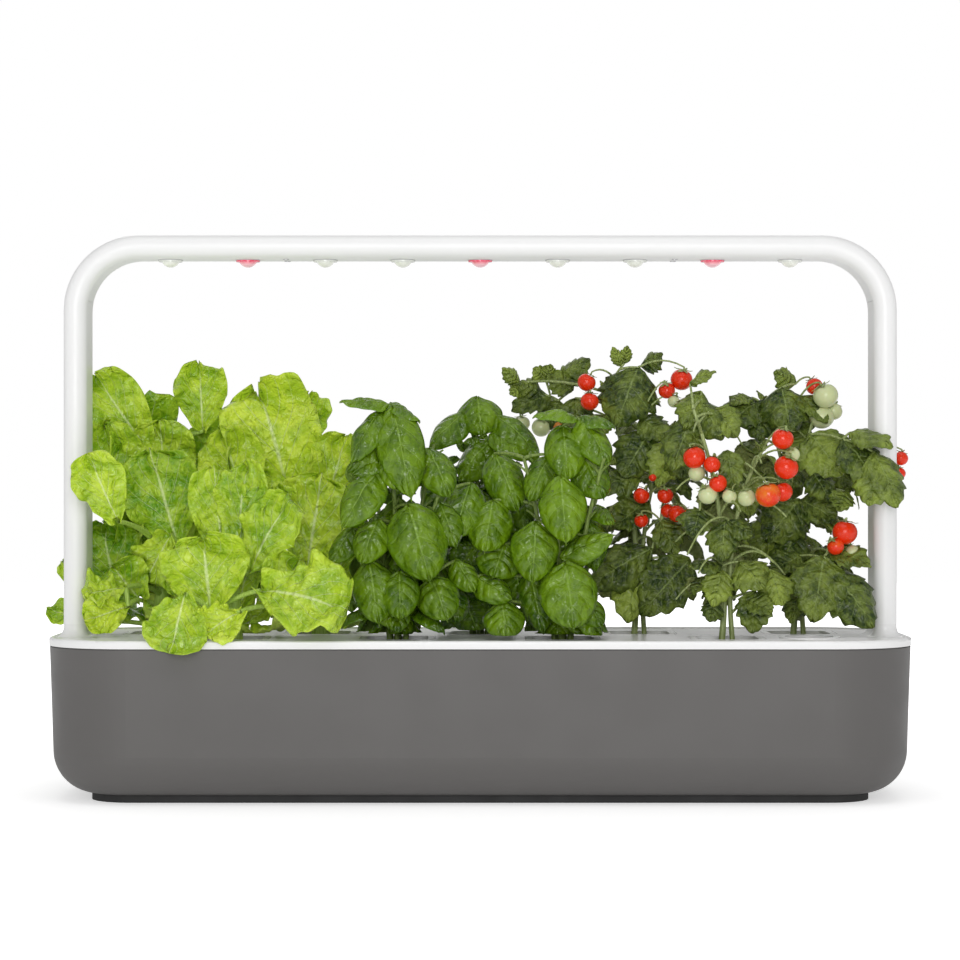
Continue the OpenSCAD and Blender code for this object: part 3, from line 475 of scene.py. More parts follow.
def from_lens(f):
    """Distance along x and y from the axis of the nearest lens"""
    xyz = f.node("ShaderNodeSeparateXYZ", {0: f.place})
    step = f.calc("FRACT", f.calc("ADD", f.calc("DIVIDE", xyz.outputs[0], LENS_PITCH), 0.5))
    return f.calc("MULTIPLY", f.calc("SUBTRACT", step, 0.5), LENS_PITCH), xyz.outputs[1]


def lamp_strip(name):
    """White coated board with a yellow square light source under each lens"""
    f = Finish(name, 0.4)
    x, y = from_lens(f)
    out = f.calc("MAXIMUM", f.calc("ABSOLUTE", x), f.calc("ABSOLUTE", y))
    chip = f.spread(out, 0.0018, 0.0021, 1.0, 0.0)
    ground = f.blend(f.noise(120.0), (0.78, 0.78, 0.76), (0.84, 0.84, 0.82))
    f.wear(Base_Color=f.blend(chip, ground, (0.8, 0.62, 0.12)))
    return f.material


def lens(name, edge, middle):
    """A clear moulded dome, edge coloured, pale over the light source, with a faint painted glow"""
    # The faint emission in the lens's own colours is a painted glow: the light source under it is
    # not lit
    f = Finish(name, 0.12, **{"IOR": 1.49, "Coat Weight": 0.3, "Emission Strength": 0.12})
    x, y = from_lens(f)
    r = f.calc("SQRT", f.calc("ADD", f.calc("MULTIPLY", x, x), f.calc("MULTIPLY", y, y)))
    ring = f.spread(r, 0.0046, 0.007)
    ripple = f.noise(420.0, 1.0)
    colour = f.blend(ring, middle, edge)
    f.wear(
        Base_Color=f.blend(f.spread(ripple, 0.4, 0.7, 0.0, 0.25), colour, middle),
        Emission_Color=colour,
        Transmission_Weight=f.spread(r, 0.0035, 0.0075, 0.2, 0.05),
        Normal=f.bump(ripple, 0.00004),
    )
    return f.material


def soil_finish(name):
    f = Finish(name, 0.95)
    lumps = f.node("ShaderNodeTexVoronoi", {"Vector": f.place, "Scale": 520.0})
    fibre = f.noise(260.0, 5.0, distortion=1.0)
    fleck = f.spread(f.noise(700.0, 1.0), 0.66, 0.74)
    ground = f.blend(fibre, (0.022, 0.012, 0.007), (0.085, 0.05, 0.028))
    f.wear(
        Base_Color=f.blend(fleck, ground, (0.3, 0.22, 0.13)),
        Normal=f.bump(lumps.outputs["Distance"], 0.0006, f.bump(fibre, 0.0008)),
    )
    return f.material


def blade_finish(name, deep, bright, rib, edge, veins, lean, vein_share, stout,
                 roughness, shine, grain, crumple, quilt=0.0):
    """A blade: midrib, side veins, margin and patches of lighter growth

    veins and lean set how many side veins there are and how far they lean to the tip, vein_share
    and stout how clear they are and how wide the midrib is, and grain, crumple and quilt the relief.
    """
    f = Finish(name, roughness, **{
        "Subsurface Weight": 0.12,
        "Specular IOR Level": shine,
        "Subsurface Radius": (0.8, 1.0, 0.25),
        "Subsurface Scale": 0.0012,
    })
    side, along = f.calc("ABSOLUTE", f.read("across")), f.read("along")
    patch = f.noise(75.0, 3.0)
    fine = f.noise(330.0, 3.0)
    # The blade's paleness: its own colour, and painted shade on noted blades that sit in shade
    tone_and_shade = f.calc("MULTIPLY", f.read("tone_and_shade"), 0.8)
    share = f.calc("ADD", tone_and_shade, f.spread(patch, 0.3, 0.7, -0.22, 0.32))
    colour = f.blend(share, deep, bright)
    colour = f.blend(f.spread(fine, 0.35, 0.7, 0.0, 0.22), colour, shade(bright, 1.15))
    run = f.calc("SUBTRACT", f.calc("MULTIPLY", along, veins), f.calc("MULTIPLY", side, lean))
    run = f.calc("ADD", run, f.calc("MULTIPLY", patch, 0.25))
    ridge = f.calc("ABSOLUTE", f.calc("SUBTRACT", f.calc("FRACT", run), 0.5))
    faded = f.spread(side, 0.4, 1.0, 1.0, 0.15)
    line = f.calc("MULTIPLY", f.spread(ridge, 0.45, 0.5), faded)
    colour = f.blend(f.calc("MULTIPLY", line, vein_share), colour, rib)
    width = f.calc("MULTIPLY", f.calc("SUBTRACT", 1.3, along), stout)
    soft = f.spread(f.calc("DIVIDE", side, width), 0.25, 1.5, 1.0, 0.0)
    colour = f.blend(f.calc("MULTIPLY", soft, 0.6), colour, rib)
    colour = f.blend(f.spread(side, 0.72, 1.0, 0.0, 0.4), colour, edge)
    height = f.calc("ADD", f.calc("MULTIPLY", fine, 0.6), f.calc("MULTIPLY", line, -0.5))
    height = f.calc("ADD", height, f.calc("MULTIPLY", soft, 0.5))
    pad = f.calc("MULTIPLY", f.spread(ridge, 0.5, 0.15), f.spread(side, 0.7, 1.0, 1.0, 0.2))
    folds = f.bump(f.noise(150.0, 2.0, distortion=0.6), crumple, f.bump(pad, quilt))
    f.wear(
        Base_Color=colour,
        Roughness=f.spread(patch, 0.3, 0.7, roughness * 0.85, roughness * 1.2),
        Normal=f.bump(height, grain, folds),
    )
    return f.material


def stalk_finish(name, low, high):
    f = Finish(name, 0.5, **{
        "Subsurface Weight": 0.1, "Subsurface Radius": (1, 1, 0.4), "Subsurface Scale": 0.001,
    })
    streak = f.stretched((900.0, 900.0, 90.0))
    f.wear(Base_Color=f.blend(f.spread(streak, 0.3, 0.7), low, high), Normal=f.bump(streak, 0.0002))
    return f.material


def fruit_finish(name):
    """Fruit skin that goes from green through orange to red with the ripe value of each fruit"""
    f = Finish(name, 0.2, **{
        "Coat Weight": 0.1, "Coat Roughness": 0.08, "Specular IOR Level": 0.35,
        "Subsurface Weight": 0.15, "Subsurface Radius": (1.0, 0.5, 0.2), "Subsurface Scale": 0.002,
    })
    blotch = f.noise(110.0, 3.0)
    speck = f.spread(f.noise(1500.0, 1.0), 0.62, 0.75, 0.0, 0.25)
    ripe = f.calc("ADD", f.read("ripe"), f.spread(blotch, 0.3, 0.7, -0.12, 0.1))
    unripe = f.blend(blotch, (0.52, 0.6, 0.28), (0.7, 0.74, 0.44))
    turning = f.blend(f.spread(ripe, 0.15, 0.6), unripe, (0.8, 0.25, 0.02))
    skin = f.blend(f.spread(ripe, 0.55, 0.9), turning, (0.8, 0.03, 0.002))
    f.wear(Base_Color=f.blend(speck, skin, (0.9, 0.5, 0.3)))
    return f.material


# ---------- shapes ----------


def curve_at(a, b, c, t):
    return a * (1 - t) ** 2 + b * (2 * t * (1 - t)) + c * t**2


def slope_at(a, b, c, t):
    return ((b - a) * (1 - t) + (c - b) * t).normalized()


def body_with(name, bm, *finishes):
    """An object from what bm holds, smooth and with the given finishes"""
    mesh = bpy.data.meshes.new(name)
    for face in bm.faces:
        face.smooth = True
    bm.to_mesh(mesh)
    bm.free()
    for finish in finishes:
        mesh.materials.append(finish)
    made = bpy.data.objects.new(name, mesh)
    bpy.context.scene.collection.objects.link(made)
    return made


class Blades:
    """Collects the blades of one plant in one mesh"""

    def __init__(self, rows, cols, form, room):
        self.bm = bmesh.new()
        self.rows, self.cols, self.form, self.room = rows, cols, form, room
        make = self.bm.verts.layers.float.new
        # Each vertex keeps its blade's paleness: its own colour, and painted shade on noted blades
        # in shade
        self.across, self.along, self.tone_and_shade = make("across"), make("along"), make("tone_and_shade")

    def add(self, root, tip, width, face, tone_and_shade, bow, phase, size=1.0, free=False):
        if free and self.covers(root, tip, width):
            return
        span = tip - root
        length = span.length
        face = (face - span * (face.dot(span) / span.length_squared)).normalized()
        middle = (root + tip) / 2 + face * bow * length
        rows, cols = max(4, round(self.rows * size)), max(2, round(self.cols * size / 2) * 2)
        grid = bmesh.ops.create_grid(self.bm, x_segments=cols, y_segments=rows, size=1.0)
        for vert in grid["verts"]:
            x, s = vert.co.x, (vert.co.y + 1) / 2
            half, ahead, lift = self.form(x, s, length, width, phase)
            place = curve_at(root, middle, tip, s)
            along = slope_at(root, middle, tip, s)
            up = (face - along * face.dot(along)).normalized()
            side = along.cross(up)
            vert.co = place + side * (x * half) + along * ahead + up * lift
            if free:
                vert.co = self.kept(vert.co)
            vert.co = off_the_tray(vert.co)
            vert[self.across], vert[self.along], vert[self.tone_and_shade] = x, s, tone_and_shade

    def covers(self, root, tip, width):
        """True if a free blade would stand in front of a noted fruit or blade"""
        span = tip - root
        flat = Vector((span.x, 0, span.z))
        for spot, r in placed_spots():
            gap = Vector((spot.x - root.x, 0, spot.z - root.z))
            t = min(1.0, max(0.0, gap.dot(flat) / max(flat.length_squared, 1e-9)))
            near = (gap - flat * t).length < r + width * 0.36
            if near and root.y + span.y * t < spot.y + 0.004:
                return True
        return False

    def kept(self, p):
        """Bends free growth softly back inside the plant's room"""
        x0, x1, y0, y1, _ = self.room
        p.x = ease(p.x, x0, x1, ROOM_EDGE)
        p.y = ease(p.y, y0, y1, ROOM_EDGE)
        return p

    def finish(self, name, body, node, slot_name, thickness, upper, under):
        made = body_with(name, self.bm, upper, under)
        solid = made.modifiers.new("thickness", "SOLIDIFY")
        solid.thickness = thickness
        solid.offset = 0.0
        solid.material_offset = 1
        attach(made, body)
        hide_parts(node)
        return made


def placed_spots():
    """Places and reach of the noted fruit and blades, which free blades leave uncovered"""
    for _, place, r, _ in FRUIT:
        yield metres(place), r * MM
    for _, root, tip, width, _, _ in BLADES:
        for t in (0.3, 0.7):
            yield metres(root).lerp(metres(tip), t), width * 0.0002


def off_the_tray(p):
    """Holds a blade above the tray, or in front of its edge where it hangs over"""
    p.y = max(p.y, FRONT_LIMIT)
    if p.z < TRAY_CLEAR:
        if p.y < EDGE_FROM:
            p.y = min(p.y, EDGE_CLEAR)
        else:
            p.z = TRAY_CLEAR
    return p


def ease(value, low, high, soft):
    """Leaves a value alone well inside the limits and bends it in near them"""
    if value > high - soft:
        return high - soft * math.exp(-(value - high + soft) / soft)
    if value < low + soft:
        return low + soft * math.exp((value - low - soft) / soft)
    return value


def lettuce_form(x, s, length, width, phase):
    """Round-ended blade with a waved margin and blisters between the veins"""
    side = abs(x)
    half = width / 2 * max(0.12, math.sin(math.pi * s**1.55) ** 0.42)
    rim = max(side, 2 * s - 1)
    sign = math.tanh(5 * x)
    look = bpy.context.scene.garden
    slow = math.sin(2 * math.pi * (2.3 * s + 0.23 * sign) + phase + 2.1 * side)
    quick = math.sin(2 * math.pi * (4.6 * s + 0.31 * sign) + 2.3 * phase + 3.0 * side)
    tip = math.sin(5.5 * x + phase) + 0.6 * math.sin(13 * x + 1.7 * phase)
    lift = rim**2.4 * slow + 0.6 * rim**4 * quick + 0.5 * max(0.0, 2 * s - 1) ** 3 * tip
    lift *= look.lettuce_ruffle * (width / 0.05)
    lift += 0.045 * width * math.sin(2 * math.pi * (1.2 * s + 0.4 * x) + phase) * (0.25 + rim)
    spot = Vector((x * half * 105, s * length * 105, phase * 3.1))
    fold = 1 - abs(noise.noise(spot)) * 2
    blister = 0.0036 * fold + noise.noise(spot * 2.6) * 0.0009
    lift -= blister * (1 - 0.75 * math.exp(-((x / 0.16) ** 2)))
    lift += 0.12 * width * x * x * (1 - 0.5 * s) - 0.0008 * math.exp(-((x / 0.09) ** 2))
    ahead = (0.07 * side**2 + 0.01 * math.sin(6 * x + phase)) * length * s**3 * (1 - s**8)
    return half, ahead, lift


def basil_form(x, s, length, width, phase):
    """Oval blade, its margin turned down, quilted between curved side veins"""
    side = abs(x)
    half = width / 2 * max(0.05, math.sin(math.pi * min(1.0, s**0.8)) ** 0.68)
    look = bpy.context.scene.garden
    run = (4.2 * s - 1.1 * side**1.3) % 1.0
    quilt = math.sin(math.pi * run) ** 0.8 * (1 - side**3) * (1 - math.exp(-((x / 0.15) ** 2)))
    spot = Vector((x * half * 95, s * length * 95, phase * 2.7))
    lift = look.basil_pucker * (width / 0.028) * (0.7 * quilt + 1.6 * noise.noise(spot))
    lift -= 0.6 * half * x * x + 0.0009 * math.exp(-((x / 0.07) ** 2))
    lift += 0.012 * width * math.sin(9 * s + phase) * side**2
    ahead = 0.4 * half * side**2 * (2 * s - 1) + 0.07 * length * s**8 * (1 - side) ** 2
    return half, ahead, lift


def tomato_form(x, s, length, width, phase):
    """Toothed and lobed leaflet with a wrinkled face"""
    side = abs(x)
    sign = 1 if x > 0 else -1
    half = width / 2 * max(0.06, math.sin(math.pi * s**0.78) ** 0.8)
    tooth = (5.2 * s + 0.31 * sign + 0.2 * phase) % 1.0
    tooth = tooth / 0.72 if tooth < 0.72 else (1 - tooth) / 0.28
    half *= 0.86 + 0.22 * tooth * side
    run = (5.0 * s - 1.1 * side) % 1.0
    quilt = math.sin(math.pi * run) ** 0.7 * (1 - side**4)
    spot = Vector((x * half * 190, s * length * 190, phase * 1.9))
    lift = 0.001 * (width / 0.025) * (0.6 * quilt + 1.5 * noise.noise(spot))
    lift += half * x * x * (0.32 * math.sin(phase * 1.7) - 0.22)
    lift += 0.05 * width * math.sin(11 * s + phase * sign) * side**2
    lift -= 0.0009 * math.exp(-((x / 0.1) ** 2))
    return half, 0.1 * width * side * tooth * s * (1 - s**5), lift


class Stalks:
    """Stems and leaf stalks of one plant, each new one joined to the nearest that stands"""

    def __init__(self, sides=6):
        self.bm = bmesh.new()
        self.sides = sides
        self.points = []

    def pipe(self, path, start, end):
        """A round stalk along the path, made by pushing its ring of edges out step by step"""
        heading = path[1] - path[0]
        turn = Vector((0, 0, 1)).rotation_difference(heading)
        place = Matrix.LocRotScale(path[0], turn, Vector((start, start, start)))
        ring = bmesh.ops.create_circle(self.bm, segments=self.sides, radius=1.0, matrix=place)
        edges = list({e for v in ring["verts"] for e in v.link_edges})
        for i in range(1, len(path)):
            ahead = path[min(i + 1, len(path) - 1)] - path[i - 1]
            turn = heading.rotation_difference(ahead) @ turn
            heading = ahead
            r = start + (end - start) * i / (len(path) - 1)
            following = Matrix.LocRotScale(path[i], turn, Vector((r, r, r)))
            move = following @ place.inverted()
            made = bmesh.ops.extrude_edge_only(self.bm, edges=edges)["geom"]
            edges = [g for g in made if isinstance(g, bmesh.types.BMEdge)]
            for g in made:
                if isinstance(g, bmesh.types.BMVert):
                    g.co = move @ g.co
            place = following
        return path

    def stem(self, path, start, end):
        self.points += self.pipe(path, start, end)

    def join(self, root, r, droop=0.12, keep=True):
        """A stalk from the nearest standing point up or out to the root of a blade"""
        def cost(p):
            return (root - p).length + 3.0 * max(0.0, p.z - root.z + 0.002)

        start = min(self.points, key=cost)
        span = root - start
        middle = (start + root) / 2 + Vector((0, 0, 1)) * droop * span.length
        path = [curve_at(start, middle, root, i / 6) for i in range(7)]
        if span.length > 0.0015:
            self.pipe(path, r * 1.35, r)
            if keep:
                self.points += path[2:]

    def finish(self, name, body, finish):
        made = body_with(name, self.bm, finish)
        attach(made, body)
        return made


def metres(p):
    return Vector(p) * MM


def turned(azimuth, lift=0.0):
    """Unit vector at this azimuth, raised by lift"""
    flat = math.cos(lift)
    return Vector((math.cos(azimuth) * flat, math.sin(azimuth) * flat, math.sin(lift)))


def crown_of(n):
    low, high = (Vector(c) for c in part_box(f"soil_pod_{n}"))
    return Vector(((low.x + high.x) / 2, (low.y + high.y) / 2, high.z))


def room_of(n):
    return tuple(v * MM for v in ROOM[n])


def reach_of(n, crown, azimuth):
    """Distance from the crown to the edge of the plant's room"""
    x0, x1, y0, y1, _ = room_of(n)
    c, s = math.cos(azimuth), math.sin(azimuth)
    along_x = ((x1 if c > 0 else x0) - crown.x) / c if abs(c) > 1e-6 else 9.0
    along_y = ((y1 if s > 0 else y0) - crown.y) / s if abs(s) > 1e-6 else 9.0
    return min(along_x, along_y)


def noted(n, blades, stalks, rng, share, bows, size, stalk):
    """The plant's blades seen from the front, each joined by its own stalk"""
    for plant, root, tip, width, face, tone_and_shade in BLADES:
        if plant == n:
            root = metres(root)
            blades.add(root, metres(tip), width * share, Vector(face), tone_and_shade,
                       rng.uniform(*bows), rng.uniform(0, PHASES), size)
            stalks.join(root, stalk)


def grow_lettuce(n, look, upper, under, stalk):
    """A loose head: flat leaves outside, upright ones inside, and the blades seen from the front"""
    rng = random.Random(look.seed * 100 + n)
    crown = crown_of(n)
    room = room_of(n)
    top = room[4]
    blades = Blades(32, 20, lettuce_form, room)
    stalks = Stalks()
    heart = crown + Vector((0, 0, (top - crown.z) * 0.42))
    stalks.stem([crown.lerp(heart, i / 8) for i in range(9)], 0.008, 0.004)
    for i in range(look.lettuce_leaves):
        k = i / max(1, look.lettuce_leaves - 1)
        azimuth = i * GOLDEN + rng.uniform(-0.2, 0.2)
        if math.sin(azimuth) < -0.2 and k > 0.3:
            azimuth = -azimuth
        raised = math.radians(18 + 58 * k + rng.uniform(-7, 7))
        out = reach_of(n, crown, azimuth)
        length = min(out * 0.92 / max(0.25, math.cos(raised)), (top - crown.z) * (0.62 + 0.25 * k))
        length = max(length, 0.045) * rng.uniform(0.9, 1.05)
        root = crown.lerp(heart, 0.08 + 0.85 * k) + turned(azimuth) * 0.006
        tip = root + turned(azimuth, raised) * length
        face = turned(azimuth, raised + math.pi / 2)
        blades.add(root, tip, length * rng.uniform(0.62, 0.8), face, rng.uniform(0.15, 0.85),
                   rng.uniform(0.05, 0.22), rng.uniform(0, PHASES), 0.8, free=True)
    noted(n, blades, stalks, rng, 0.00108, (0.1, 0.2), 1.25, 0.0016)
    body = f"pod_{n}"
    stalks.finish(f"lettuce_stalks_{n}", body, stalk)
    return blades.finish(f"lettuce_leaves_{n}", body, f"lettuce_{n}", "lettuce_leaf",
                         look.leaf_thickness, upper, under)


def grow_basil(n, look, upper, under, stalk):
    """A bunch of stems with leaves in opposite pairs, each pair turned across the one below"""
    rng = random.Random(look.seed * 100 + n)
    crown = crown_of(n)
    room = room_of(n)
    top = room[4]
    blades = Blades(20, 14, basil_form, room)
    stalks = Stalks()
    for j in range(look.basil_stems):
        azimuth = j * 2 * math.pi / look.basil_stems + 0.6 + n
        foot = crown + turned(azimuth) * 0.006
        spread = reach_of(n, crown, azimuth) * rng.uniform(0.45, 0.62)
        head = crown + turned(azimuth) * spread
        head.z = crown.z + (top - crown.z) * rng.uniform(0.72, 0.95)
        bend = Vector((
            foot.x * 0.8 + head.x * 0.2, foot.y * 0.8 + head.y * 0.2, (foot.z + head.z) / 2,
        ))
        path = [curve_at(foot, bend, head, i / 12) for i in range(13)]
        stalks.stem(path, 0.0021, 0.0013)
        pairs = 7
        for i in range(pairs):
            k = (i + 0.6) / pairs
            node = curve_at(foot, bend, head, 0.12 + 0.88 * k)
            size = 0.036 * math.sin(math.pi * (0.28 + 0.55 * k)) * rng.uniform(0.85, 1.15)
            for half in (0, math.pi):
                turn = azimuth + i * math.pi / 2 + half + rng.uniform(-0.25, 0.25)
                fall = math.radians(rng.uniform(-62, -22) * (1 - 0.55 * (i == pairs - 1)))
                root = node + turned(turn, 0.35) * 0.009
                tip = root + turned(turn, fall) * size
                face = turned(turn, fall + math.pi / 2)
                blades.add(root, tip, size * rng.uniform(0.62, 0.72), face, rng.uniform(0.1, 0.7),
                           rng.uniform(0.16, 0.3), rng.uniform(0, PHASES), 0.8, free=True)
                stalks.join(root, 0.0007, keep=False)
        for i in range(4):
            turn = azimuth + i * GOLDEN
            tip = head + turned(turn, 0.9) * rng.uniform(0.01, 0.017)
            blades.add(head, tip, 0.008, turned(turn, 0.9 + math.pi / 2), 0.85, 0.2,
                       rng.uniform(0, PHASES), 0.6, free=True)
    noted(n, blades, stalks, rng, 0.00106, (0.14, 0.26), 1.3, 0.001)
    body = f"pod_{n}"
    stalks.finish(f"basil_stalks_{n}", body, stalk)
    return blades.finish(f"basil_leaves_{n}", body, f"basil_{n - 3}", "basil_leaf",
                         look.leaf_thickness, upper, under)


def compound_leaf(blades, stalks, node, turn, length, rng, size):
    """A rachis that rises and droops, with leaflets in pairs and one at its end"""
    raised = math.radians(rng.uniform(5, 35))
    out = turned(turn, raised) * length
    middle = node + out * 0.5 + Vector((0, 0, length * 0.22))
    end = node + Vector((out.x, out.y, out.z - length * rng.uniform(0.25, 0.6)))
    path = [curve_at(node, middle, end, i / 8) for i in range(9)]
    stalks.pipe(path, 0.0011, 0.0006)
    for t, hand in ((0.42, 1), (0.45, -1), (0.7, 1), (0.74, -1), (1.0, 0)):
        root = curve_at(node, middle, end, t)
        along = slope_at(node, middle, end, t)
        yaw = turn + hand * rng.uniform(0.9, 1.3)
        fall = math.radians(rng.uniform(-70, -25))
        reach = size * (1.15 if hand == 0 else rng.uniform(0.75, 0.95))
        tip = root + (turned(yaw, fall) * 0.8 + along * 0.25).normalized() * reach
        face = turned(yaw, fall + math.pi / 2)
        pale = 0.9 if rng.random() < 0.24 else rng.uniform(0.02, 0.55)
        blades.add(root, tip, reach * rng.uniform(0.72, 0.95), face, pale,
                   rng.uniform(0.08, 0.28), rng.uniform(0, PHASES), 0.75, free=True)


def fruit_on(fruits, stalks, place, r, ripe, rng):
    """A fruit with its star of sepals, hung from the nearest stalk"""
    layer = fruits.verts.layers.float["ripe"]
    tilt = Matrix.Rotation(rng.uniform(-0.5, 0.5), 4, "X")
    tilt = tilt @ Matrix.Rotation(rng.uniform(-0.5, 0.5), 4, "Y")
    made = bmesh.ops.create_uvsphere(fruits, u_segments=22, v_segments=14, radius=1.0)["verts"]
    for vert in made:
        p = vert.co.copy()
        dimple = 0.14 * math.exp(-((1 - p.z) / 0.09) ** 2)
        lobes = 1 + 0.012 * math.cos(5 * math.atan2(p.y, p.x)) * (1 - p.z**2)
        p = Vector((p.x * lobes, p.y * lobes, p.z * 0.95 - dimple))
        vert.co = place + tilt @ (p * r)
        vert[layer] = ripe
    cap = place + tilt @ Vector((0, 0, r * 0.84))
    for i in range(5):
        turn = i * 2 * math.pi / 5 + rng.uniform(-0.2, 0.2)
        reach = r * rng.uniform(0.75, 1.05)
        shape = bmesh.ops.create_grid(stalks.bm, x_segments=2, y_segments=4, size=1.0)["verts"]
        for vert in shape:
            x, s = vert.co.x, (vert.co.y + 1) / 2
            out = s * reach
            height = 0.0006 - 0.35 * out * out / r + (0.3 * reach) * s**4 + 0.0004 * abs(x)
            wide = x * reach * 0.17 * math.sin(math.pi * min(1, 0.12 + s * 0.86))
            local = turned(turn) * out + turned(turn + math.pi / 2) * wide + Vector((0, 0, height))
            vert.co = cap + tilt @ local
    stalks.join(cap + tilt @ Vector((0, 0, 0.003)), 0.0006, 0.3, keep=False)
    knee = cap + tilt @ Vector((0, 0, 0.0016))
    stalks.pipe([cap, knee, cap + tilt @ Vector((0, 0, 0.0032))], 0.0008, 0.0006)


def grow_tomato(n, look, upper, under, stalk, skin):
    """Two stems with compound leaves, sprigs at the top and hanging fruit"""
    rng = random.Random(look.seed * 100 + n)
    crown = crown_of(n)
    room = room_of(n)
    top = room[4]
    blades = Blades(18, 12, tomato_form, room)
    stalks = Stalks()
    fruits = bmesh.new()
    fruits.verts.layers.float.new("ripe")
    middle_y = (room[2] + room[3]) / 2
    for j in range(2):
        foot = crown + Vector((0.004 * (1 if j else -1), 0, 0))
        lean = 0.024 * (1 if j else -1)
        head = Vector((crown.x + lean, crown.y * 0.75 + middle_y * 0.25, top - 0.012 - 0.03 * j))
        bend = Vector((crown.x - lean * 0.2, crown.y, (crown.z + top) / 2))
        path = [curve_at(foot, bend, head, i / 16) for i in range(17)]
        stalks.stem(path, 0.0026 - 0.0005 * j, 0.0012)
        count = look.tomato_leaves - 3 * j
        for i in range(count):
            k = (i + 0.5) / count
            node = curve_at(foot, bend, head, 0.2 + 0.8 * k)
            turn = i * GOLDEN + j * 1.3 + n
            length = min(0.05, max(0.024, reach_of(n, node, turn) * 0.75)) * rng.uniform(0.85, 1.1)
            size = 0.022 + 0.008 * math.sin(math.pi * k)
            compound_leaf(blades, stalks, node, turn, length, rng, size)
        for i in range(3):
            turn = i * GOLDEN + j
            tip = head + turned(turn, 1.0) * rng.uniform(0.008, 0.014)
            blades.add(head, tip, 0.007, turned(turn, 1.0 + math.pi / 2), 0.8, 0.2,
                       rng.uniform(0, PHASES), 0.6, free=True)
    noted(n, blades, stalks, rng, 0.00112, (0.06, 0.24), 1.3, 0.0008)
    for plant, place, r, ripe in FRUIT:
        if plant == n:
            fruit_on(fruits, stalks, metres(place), r * MM, ripe, rng)
    body = f"pod_{n}"
    stalks.finish(f"tomato_stalks_{n}", body, stalk)
    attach(body_with(f"tomato_fruit_{n}", fruits, skin), body)
    return blades.finish(f"tomato_leaves_{n}", body, f"tomato_{n - 6}", "tomato_leaf",
                         look.leaf_thickness, upper, under)


def dress(nodes, finish):
    for name in nodes:
        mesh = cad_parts[name].data
        mesh.materials.clear()
        mesh.materials.append(finish)


# ---------- operators ----------


class GARDEN_OT_tank(bpy.types.Operator):
    """Gives the tank its moulded finish and its foot a near-black one, painted shade under the tank
    """

    bl_idname = "garden.tank"
    bl_label = "Finish the tank"

    def execute(self, context):
        dress(["tank"], moulded("tank_grey", (0.116, 0.111, 0.107), 0.5, 0.00002, 1800.0))
        # The foot is made near black: painted shade where the foot sits in the tank's shadow
        dress(["foot_plate"], moulded("foot_black", (0.03, 0.03, 0.03), 0.75, 0.00006, 900.0))
        return {"FINISHED"}


class GARDEN_OT_tray(bpy.types.Operator):
    """Gives the tray, the cups, the float and the parts under the tray their finishes"""

    bl_idname = "garden.tray"
    bl_label = "Finish the tray"

    def execute(self, context):
        dress(["tray"], moulded("white_gloss", WHITE, 0.22, 0.000003, spread=0.006))
        satin = moulded("white_satin", WHITE, 0.36, 0.000005, spread=0.006)
        dress([f"plant_cup_{n}" for n in PODS] + ["float_guide", "control_case"], satin)
        dress(["wicks"], felt("wick_felt", (0.75, 0.74, 0.7)))
        dress(["float"], moulded("float_red", (0.7, 0.08, 0.05), 0.35))
        dress(["control_board"], board("board_green", (0.03, 0.2, 0.08), (0.1, 0.36, 0.14)))
        dress(["power_inlet"], moulded("inlet_black", (0.02, 0.02, 0.02), 0.45))
        contact = metal("contact_metal", (0.85, 0.68, 0.35), 0.25)
        dress(["inlet_pin_contact", "socket_pins"], contact)
        return {"FINISHED"}


class GARDEN_OT_lamp(bpy.types.Operator):
    """Gives the arms, the lamp and its lenses their finishes"""

    bl_idname = "garden.lamp"
    bl_label = "Finish the lamp"

    def execute(self, context):
        dress(["arm_left", "arm_right", "lamp_housing"],
              moulded("arm_white", WHITE, 0.34, 0.000005, spread=0.006))
        dress(["lamp_cover"], moulded("cover_white", (0.88, 0.88, 0.89), 0.5, 0.00001, spread=0.01))
        dress(["arm_conductors"], metal("conductor_metal", (0.8, 0.45, 0.28), 0.3))
        dress(["lamp_contacts"], metal("lamp_contact_metal", (0.85, 0.68, 0.35), 0.25))
        dress(["cover_screws"], metal("screw_steel", (0.6, 0.6, 0.62), 0.3))
        dress(["touch_sensor"], board("sensor_board", (0.03, 0.2, 0.08), (0.8, 0.55, 0.3)))
        dress(["led_strip"], lamp_strip("board_white"))
        dress(["white_lenses"], lens("lens_white", (0.78, 0.8, 0.75), (0.9, 0.91, 0.84)))
        dress(["red_lenses"], lens("lens_red", (0.9, 0.08, 0.16), (1.0, 0.62, 0.68)))
        dress(["lens_seals"], moulded("seal_grey", (0.55, 0.55, 0.56), 0.6))
        return {"FINISHED"}


class GARDEN_OT_soil(bpy.types.Operator):
    """Gives the pods their soil and strews crumbs on them"""

    bl_idname = "garden.soil"
    bl_label = "Finish the soil"

    def execute(self, context):
        look = context.scene.garden
        soil = soil_finish("soil")
        dress([f"soil_pod_{n}" for n in PODS], soil)
        for n in PODS:
            rng = random.Random(look.seed * 10 + n)
            low, high = (Vector(c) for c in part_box(f"soil_pod_{n}"))
            crown = crown_of(n)
            bm = bmesh.new()
            for _ in range(look.soil_crumbs):
                r = rng.uniform(0.0005, 0.0013)
                x = crown.x + rng.uniform(-1, 1) * ((high.x - low.x) / 2 - 0.002)
                y = crown.y + rng.uniform(-1, 1) * ((high.y - low.y) / 2 - 0.002)
                place = Matrix.LocRotScale(
                    Vector((x, y, crown.z + r * 0.3)),
                    turned(rng.uniform(0, 6), rng.uniform(0, 1)).to_track_quat("Z", "Y"),
                    Vector((1, rng.uniform(0.6, 1), rng.uniform(0.5, 0.9))),
                )
                bmesh.ops.create_icosphere(bm, subdivisions=1, radius=r, matrix=place)
            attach(body_with(f"soil_crumbs_{n}", bm, soil), f"pod_{n}")
        return {"FINISHED"}


